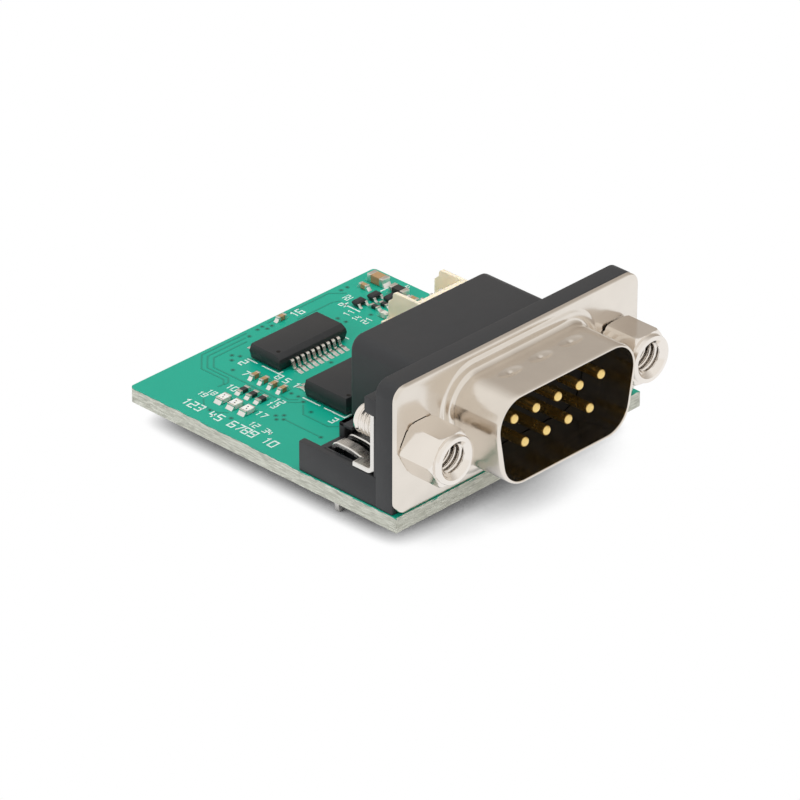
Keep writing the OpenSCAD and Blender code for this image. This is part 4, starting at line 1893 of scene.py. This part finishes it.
@dataclass
class EndCappedPart:
    """A small two-ended part: body, end caps and the solder at both ends."""

    node: str
    slot: str
    centre: Point2
    size: Point3
    turn: EndTurn
    body: str
    cap: str = "cap"
    cap_share: float = 0.24
    top: float = -6.25
    solder_reach: float = 0.3
    solder_climb: Point2 = (0.7, 0.42)
    solder_foot: float = 0.05
    rounding: float = 0.06
    inset: float = 0.02
    marks: bool = False
    mark_place: Point2 = (0.17, 0.08)
    mark_half: Point2 = (0.07, 0.06)

    def core(self) -> Form:
        """Makes the body between the caps.

        Returns:
            The form.
        """
        length, width, height = self.size
        thin = self.inset
        half = length / 2 - length * self.cap_share + thin
        return block((-half, thin - width / 2, 0.03), (half, width / 2 - thin, height - thin), thin, 1)

    def cap_form(self, sign: int) -> Form:
        """Makes an end cap.

        Args:
            sign: Which end.

        Returns:
            The form.
        """
        length, width, height = self.size
        low, high = sorted((sign * length / 2, sign * (length / 2 - length * self.cap_share)))
        soft = min(self.rounding, height * 0.12)
        return block((low, -width / 2, self.inset), (high, width / 2, height), soft, 3)

    def fillet(self, sign: int) -> Form:
        """Makes the solder that climbs an end cap in a hollow curve.

        Args:
            sign: Which end.

        Returns:
            The form.
        """
        length, width, height = self.size
        end, root = length / 2, length / 2 - length * self.cap_share
        share, most = self.solder_climb
        climb, foot = min(height * share, most), self.solder_foot
        outline = [(root, 0.0), (root, 0.06), (end - 0.03, climb)]
        for i in range(1, 6):
            t = i / 6
            outline.append((end + self.solder_reach * t, foot + (climb - foot) * (1 - t) ** 2))
        outline += [(end + self.solder_reach, 0.03), (end + self.solder_reach, 0.0)]
        return prism([(sign * x, z) for x, z in outline], -width * 0.46, width * 0.46, Axis.Y, 0.04, 2)

    def mark(self, side: Side) -> Form:
        """Makes one of the two small dark squares that show through an LED's top.

        Args:
            side: Which of the two.

        Returns:
            The form.
        """
        x, y = (side.value * part for part in self.mark_place)
        (a, b), height = self.mark_half, self.size[2]
        return block((x - a, y - b, height - 0.03), (x + a, y + b, height), 0.01, 1)

    def build(self, shop: Workshop) -> None:
        """Makes the part.

        Args:
            shop: The shared finishes.
        """
        forms = [(self.core(), self.body)]
        for sign in (-1, 1):
            forms += [(self.cap_form(sign), self.cap), (self.fillet(sign), "solder")]
        if self.marks:
            forms += [(self.mark(side), "ferrite") for side in Side]
        piece = Piece(self.node + "_dressed")
        turn = Matrix.Rotation(math.radians(self.turn.value), 3, "Z")
        for form, finish in forms:
            bmesh.ops.rotate(form, verts=form.verts, matrix=turn)
            bmesh.ops.translate(form, verts=form.verts, vec=(*self.centre, self.top))
            piece.add(form, shop.finish(finish))
        settle(piece.make(), [self.node])


@dataclass
class Transistor:
    """A small moulded part with two leads in front and one behind."""

    node: str
    centre: Point2
    size: Point3 = (1.2, 0.8, 0.6)
    lead: tuple[Point2, ...] = (
        (0.1, 0.3), (0.1, 0.42), (-0.12, 0.42), (-0.22, 0.16),
        (-0.42, 0.13), (-0.42, 0.0), (-0.12, 0.0), (-0.08, 0.3),
    )
    lead_half: float = 0.14
    lead_gap: float = 0.45
    top: float = -6.25

    def build(self, shop: Workshop) -> None:
        """Makes the part.

        Args:
            shop: The shared finishes.
        """
        width, depth, height = self.size
        x, y = self.centre

        def ring(inset: float, z: float) -> list[Vector]:
            """Four corners at a height above the board."""
            a, b = width / 2 - inset, depth / 2 - inset
            return [Vector((x + u, y + v, self.top + z)) for u, v in ((-a, -b), (a, -b), (a, b), (-a, b))]

        body = soften(loft([ring(0.08, 0.1), ring(0, 0.35), ring(0, 0.42), ring(0.13, height)]), 0.07, 3, 15)
        piece = Piece(self.node + "_dressed").add(body, shop.finish("resin"))
        outline = [(a, self.top + b) for a, b in self.lead]
        for dx, sign in ((-self.lead_gap, -1), (self.lead_gap, -1), (0.0, 1)):
            form = prism(outline, -self.lead_half, self.lead_half, Axis.X, 0.03, 1)
            if sign > 0:
                bmesh.ops.rotate(form, verts=form.verts, matrix=Matrix.Rotation(math.pi, 3, "Z"))
            bmesh.ops.translate(form, verts=form.verts, vec=(x + dx, y + sign * depth / 2, 0))
            piece.add(form, shop.finish("solder"))
        settle(piece.make(), [self.node])


@dataclass
class WireHeader:
    """Ivory header housing with its four pins."""

    left: float = 7.95
    front: float = 19.6
    width: float = 6.45
    depth: float = 4.1
    base: float = -6.25
    height: float = 4.35
    wall: float = 0.4
    front_wall: float = 0.7
    floor: float = 1.2
    foot: Point3 = (0.95, 1.3, 1.5)
    notch: float = 0.55
    notch_drops: Point3 = (1.15, 0.67, 0.32)
    lead_in: float = 0.1
    pitch: float = 1.25
    pins: int = 4
    pin_y: float = 21.9
    pin_sheet: float = 0.4
    pin_top: float = 3.2
    tail_end: float = -9.85

    def pin_places(self) -> list[Point2]:
        """Places of the pins from left to right."""
        first = self.left + self.width / 2 - (self.pins - 1) / 2 * self.pitch
        return [(first + self.pitch * i, self.pin_y) for i in range(self.pins)]

    def end_wall(self) -> list[Point2]:
        """Draws an end wall with its notch.

        Returns:
            The outline in Y and Z.
        """
        back, top = self.front + self.depth, self.base + self.height
        low, middle, high = self.notch_drops
        inner, lead_in = back - self.notch, self.lead_in
        points = [(self.front, self.base), (back, self.base), (back, top - low)]
        points += [(inner, top - middle), (inner, top - high)]
        return points + [(inner - lead_in, top - lead_in), (inner - high, top), (self.front, top)]

    def build(self, shop: Workshop) -> None:
        """Makes the housing and the pins.

        Args:
            shop: The shared finishes and trees.
        """
        ivory = shop.finish("nylon")
        piece = Piece("header_housing_moulding")
        right, back, top = self.left + self.width, self.front + self.depth, self.base + self.height
        for x in (self.left, right - self.wall):
            piece.add(prism(self.end_wall(), x, x + self.wall, Axis.X, 0.06, 2), ivory)
        sunk, base = 0.1, self.base
        x0, x1 = self.left + self.wall - sunk, right - self.wall + sunk
        wide, deep, high = self.foot
        blocks = [
            ((x0, self.front, base), (x1, self.front + self.front_wall, top), 0.05),
            ((x0, self.front + sunk, base), (x1, back, base + self.floor), 0.05),
        ]
        for x in (self.left - wide, right - sunk):
            blocks.append(((x, back - deep, base), (x + wide + sunk, back, base + high), 0.06))
        for low, high_corner, soft in blocks:
            piece.add(block(low, high_corner, soft), ivory)
        settle(piece.make(), ["header_housing"])
        half, taper = self.pin_sheet / 2, 0.25
        low, high_z = self.tail_end, self.base + self.pin_top
        rings = []
        for size, z in ((half * 0.5, low), (half, low + taper), (half, high_z - taper), (half * 0.5, high_z)):
            corners = ((-size, -size), (size, -size), (size, size), (-size, size))
            rings.append([Vector((u, v, z)) for u, v in corners])
        start = (*self.pin_places()[0], 0)
        model = Piece("header_pin_model").add(soften(loft(rings), 0.03, 1, 40), shop.finish("tin"))
        thing = shop.row("header_pins", model, start, (self.pitch, 0, 0), self.pins, "tin")
        settle(thing, [f"header_pin_{i + 1}" for i in range(self.pins)])


@dataclass
class SolderJoints:
    """Solder cones round the tails under the board."""

    bottom: float = -7.75
    radius: float = 0.85
    rise: float = 0.75
    hollow: float = 2.2
    header_core: float = 0.2
    header_share: float = 0.62

    def build(self, shop: Workshop) -> None:
        """Makes the joints of the contacts and of the header pins.

        Args:
            shop: The shared finishes and trees.
        """
        for name, points, core, scale in (
            ("contact_joints", self.contact_places(), Contacts.tail_radius, 1.0),
            ("header_joints", WireHeader().pin_places(), self.header_core, self.header_share),
        ):
            profile = [(TINY, 0.02)]
            for i in range(9):
                t = i / 8
                spread = (self.radius * scale - core) * (1 - t) ** self.hollow
                profile.append((core + spread, -self.rise * scale * t))
            profile.append((TINY, -self.rise * scale))
            form = turned(profile, (0, 0, 0), Axis.Z, 24)
            model = Piece(name + "_model").add(form, shop.finish("solder"))
            places = [(x, y, self.bottom) for x, y in points]
            settle(shop.at_points(name, model, places, "solder"))

    @staticmethod
    def contact_places() -> list[Point2]:
        """Places of the nine contact tails."""
        rows = ((5, Contacts.tail_front + Contacts.gap), (4, Contacts.tail_front))
        return [((i - (count - 1) / 2) * Contacts.pitch, y) for count, y in rows for i in range(count)]


# Stage


@dataclass(frozen=True)
class Studio:
    """White floor, soft lamps, pale surroundings and the camera."""

    azimuth: float = -45.92
    elevation: float = 29.5
    roll: float = 0.14
    eye: Point3 = (-347.95, -322.49, 267.55)
    lens: float = 280.2
    floor: float = -9.86
    floor_half: float = 1500.0
    ambient: float = 0.34
    bright_way: Point3 = (-0.9, -0.3, -0.2)
    room_range: Point2 = (-1.0, -0.3)
    dim_card: Colour = (0.43, 0.38, 0.33)
    bright_card: Colour = (0.95, 0.93, 0.9)
    shadow_reach: float = 9.0
    shadow_range: Point2 = (0.145, 0.5)
    shadow_curve: float = 0.64
    shadow_depth: float = 0.03
    aim: Point3 = (0, 12, -4)
    lamps: tuple[tuple[str, Point3, float, float], ...] = (
        ("overhead", (60, 60, 560), 2.8, 480),
        ("left_fill", (-520, 60, 240), 0.9, 360),
        ("front_fill", (120, -560, 260), 0.9, 360),
    )

    def camera(self) -> None:
        """Sets the camera at the photograph's viewing angle."""
        data = bpy.data.cameras.new("camera")
        data.lens = self.lens
        data.sensor_width = 36.0
        data.clip_start = 0.01
        data.clip_end = 20.0
        camera = placed("camera", data)
        turn = Matrix.Rotation(math.radians(self.azimuth), 4, "Z")
        tilt = Matrix.Rotation(math.radians(90 - self.elevation), 4, "X")
        roll = Matrix.Rotation(math.radians(self.roll), 4, "Z")
        camera.matrix_world = Matrix.Translation(Vector(self.eye) * MM) @ turn @ tilt @ roll
        bpy.context.scene.camera = camera

    def lamp(self, name: str, place: Point3, watts: float, size: float) -> None:
        """Adds a square lamp that faces the module and that polished faces don't mirror.

        Args:
            name: The lamp's name.
            place: Its place in millimetres.
            watts: Its power.
            size: Its side in millimetres.
        """
        data = bpy.data.lights.new(name, "AREA")
        data.energy = watts
        data.size = size * MM
        lamp = placed(name, data)
        lamp.visible_glossy = False
        lamp.location = Vector(place) * MM
        lamp.rotation_euler = (Vector(self.aim) * MM - lamp.location).to_track_quat("-Z", "Y").to_euler()

    def surroundings(self) -> None:
        """Makes the world: white to the camera, even to matt faces, darker behind on the right to gloss."""
        world = bpy.data.worlds.new("surroundings")
        bpy.context.scene.world = world
        world.use_nodes = True
        world.node_tree.nodes.clear()
        tree = ShaderTree(world.node_tree)
        path = tree.add("LightPath").outputs
        direct = tree.add("Background", Strength=1.0).outputs[0]
        soft = tree.add("Background", Strength=self.ambient).outputs[0]
        seen = tree.calc("MAXIMUM", path["Is Camera Ray"], path["Is Transmission Ray"])
        way = tree.add("VectorMath", {"operation": "DOT_PRODUCT"})
        tree.feed(way.inputs[0], tree.add("TexCoord").outputs["Generated"])
        tree.feed(way.inputs[1], self.bright_way)
        level = tree.spread(way.outputs["Value"], *self.room_range, 0.0, 1.0)
        room = tree.blend(level, opaque(self.dim_card), opaque(self.bright_card))
        glossy = tree.add("Background", Color=room).outputs[0]
        shader = tree.mix(path["Is Glossy Ray"], tree.mix(seen, soft, direct), glossy)
        tree.add("OutputWorld", Surface=shader)

    def ground(self) -> None:
        """Makes the floor: white to the camera and to gloss, but for the module's shadow."""
        tree = MaterialTree("floor_white")
        tree.surface(Base_Color=(0.9, 0.9, 0.9, 1), Roughness=1.0, Specular_IOR_Level=0.0)
        near = tree.add("AmbientOcclusion", Distance=self.shadow_reach * MM)
        near.samples = 24
        openness = tree.spread(near.outputs["AO"], *self.shadow_range, 0, 1)
        open_sky = tree.calc("POWER", openness, self.shadow_curve)
        seen = tree.add("Emission", Strength=tree.spread(open_sky, 0, 1, self.shadow_depth, 1.0))
        path = tree.add("LightPath").outputs
        mirrored = tree.calc("MAXIMUM", path["Is Glossy Ray"], path["Is Transmission Ray"])
        direct = tree.calc("MAXIMUM", path["Is Camera Ray"], mirrored)
        shader = tree.mix(direct, tree.shader.outputs[0], seen.outputs[0])
        tree.feed(tree.nodes["Material Output"].inputs["Surface"], shader)
        half, top = self.floor_half, self.floor
        slab = block((-half, -half, top - 1), (half, half, top))
        Piece("floor").add(slab, tree.material).make()

    def build(self) -> None:
        """Sets up the whole stage."""
        self.camera()
        self.surroundings()
        self.ground()
        for lamp in self.lamps:
            self.lamp(*lamp)
        bpy.context.scene.view_settings.view_transform = "Standard"


def make_finishes() -> dict[str, Material]:
    """Builds every finish of the module.

    Returns:
        The materials by a short name.
    """
    finishes = [
        PlatedMetal("nickel", from_srgb(228, 221, 212), 0.19, cloud=0.07, ripple=0.018),
        PlatedMetal("screw", from_srgb(236, 230, 223), 0.16, ripple=0.004),
        PlatedMetal("tin", from_srgb(228, 226, 222), 0.26, ripple=0.006),
        PlatedMetal("gold", from_srgb(240, 210, 138), 0.24, ripple=0.003),
        PlatedMetal("lead", from_srgb(232, 230, 224), 0.24, ripple=0.004),
        PlatedMetal("solder", from_srgb(236, 235, 232), 0.28, ripple=0.03, grain=1.5),
        PlatedMetal("cap", from_srgb(226, 222, 214), 0.34, ripple=0.02, grain=2.0),
        Moulding("housing", from_srgb(45, 46, 48), 0.5),
        Moulding("insert", from_srgb(24, 22, 20), 0.6, depth=0.0005, gloss=0.15),
        Moulding("resin", from_srgb(38, 39, 41), 0.45, grain=12.0),
        Moulding("nylon", from_srgb(244, 231, 205), 0.45, depth=0.003, glow=0.2),
        Moulding("led", from_srgb(240, 238, 230), 0.35, depth=0.004, glow=0.2),
        Fired("tan", from_srgb(172, 138, 98)),
        Fired("glaze", from_srgb(40, 40, 42), 0.3),
        Fired("ferrite", from_srgb(42, 41, 40), 0.5),
        Fired("pale", from_srgb(214, 214, 202), 0.4),
        SolderMask(
            "board",
            from_srgb(12, 162, 136),
            resin=from_srgb(188, 189, 176),
            fibre=from_srgb(220, 221, 210),
            top=BoardPrint.top,
        ),
        Print("silk", from_srgb(226, 240, 234)),
        Print("track", from_srgb(8, 140, 118), 0.36),
        # Painted shade: this dark green colours the discs that stand for the vias' holes.
        Print("via", from_srgb(14, 84, 70), 0.4),
    ]
    return {finish.name: finish.build() for finish in finishes}


def dress_kept(frame: dict, shop: Workshop) -> None:
    """Gives the solids that stay in view their finishes.

    Args:
        frame: The loaded frame.
        shop: The shared finishes.
    """
    for node, finish in (("circuit_board", "board"), ("plug_insert", "insert")):
        thing = frame["nodes"][node]
        thing.data.materials.clear()
        thing.data.materials.append(shop.finish(finish))


def small_parts() -> list[EndCappedPart | Transistor]:
    """Lists the small parts of the board.

    Returns:
        The parts, ready to build.
    """
    chip, bar, lamp = (1.0, 0.5, 0.5), (1.25, 0.6, 0.38), (1.24, 0.9, 0.5)
    along_x, along_y = EndTurn.ALONG_X, EndTurn.ALONG_Y
    tan, glaze = ("capacitor_ceramic", "tan"), ("resistor_ceramic", "glaze")
    table = [(f"capacitor_{i + 1}", tan, (-6.5, 26.3 - 1.18 * i), chip, along_x) for i in range(4)]
    table += [(f"resistor_{i + 1}", glaze, (-9.02, 25.24 - 1.17 * i), bar, along_x) for i in range(3)]
    table += [
        (f"led_{i + 1}", ("led_resin", "led"), (-11.38, 25.35 - 1.5 * i), lamp, along_x) for i in range(3)
    ]
    table += [
        ("filter_capacitor", tan, (2.8, 32.3), chip, along_x),
        ("bulk_capacitor", tan, (14.1, 30.9), (2.0, 1.05, 0.85), along_y),
        ("side_capacitor", tan, (12.4, 31.1), chip, along_y),
        ("edge_capacitor", tan, (13.7, 26.0), chip, along_y),
        ("rear_resistor_1", glaze, (10.33, 27.67), (1.0, 0.5, 0.36), along_y),
        ("rear_resistor_2", glaze, (11.25, 27.4), (1.0, 0.5, 0.36), along_y),
        ("ferrite_bead", ("bead_ferrite", "ferrite"), (13.6, 27.8), (1.9, 0.9, 0.9), along_y),
        ("fuse", ("fuse_ceramic", "pale"), (9.75, 25.87), (1.0, 0.6, 0.55), along_y),
    ]
    parts: list[EndCappedPart | Transistor] = []
    for node, (slot, body), centre, size, turn in table:
        part = EndCappedPart(node, slot, centre, size, turn, body)
        if body == "led":
            part.cap_share, part.marks = 0.14, True
        parts.append(part)
    places = ((9.8, 29.2), (11.65, 29.05), (12.4, 27.7))
    return parts + [Transistor(f"transistor_{i + 1}", place) for i, place in enumerate(places)]


def main() -> None:
    """Builds the dressed module and its stage."""
    logging.basicConfig(level=logging.INFO, format="%(name)s: %(message)s")
    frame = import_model()
    Studio().build()
    shop = Workshop(make_finishes())
    dress_kept(frame, shop)
    assemblies: list[object] = [PlugShell(), PlugHousing(), Contacts()]
    assemblies += [Jackscrew(side) for side in Side]
    assemblies += [GroundClip(side) for side in Side]
    assemblies += [
        GullWingChip("converter", (0.0, 27.3), (8.65, 3.9, 1.55), 10, 1.05, (0.45, 0.35)),
        GullWingChip("transceiver", (-0.75, 18.1), (10.2, 5.3, 1.75), 14, 1.25, (0.0, 0.0)),
        WireHeader(),
        SolderJoints(),
        BoardPrint(),
        *small_parts(),
    ]
    for assembly in assemblies:
        assembly.build(shop)


if __name__ == "__main__":
    main()
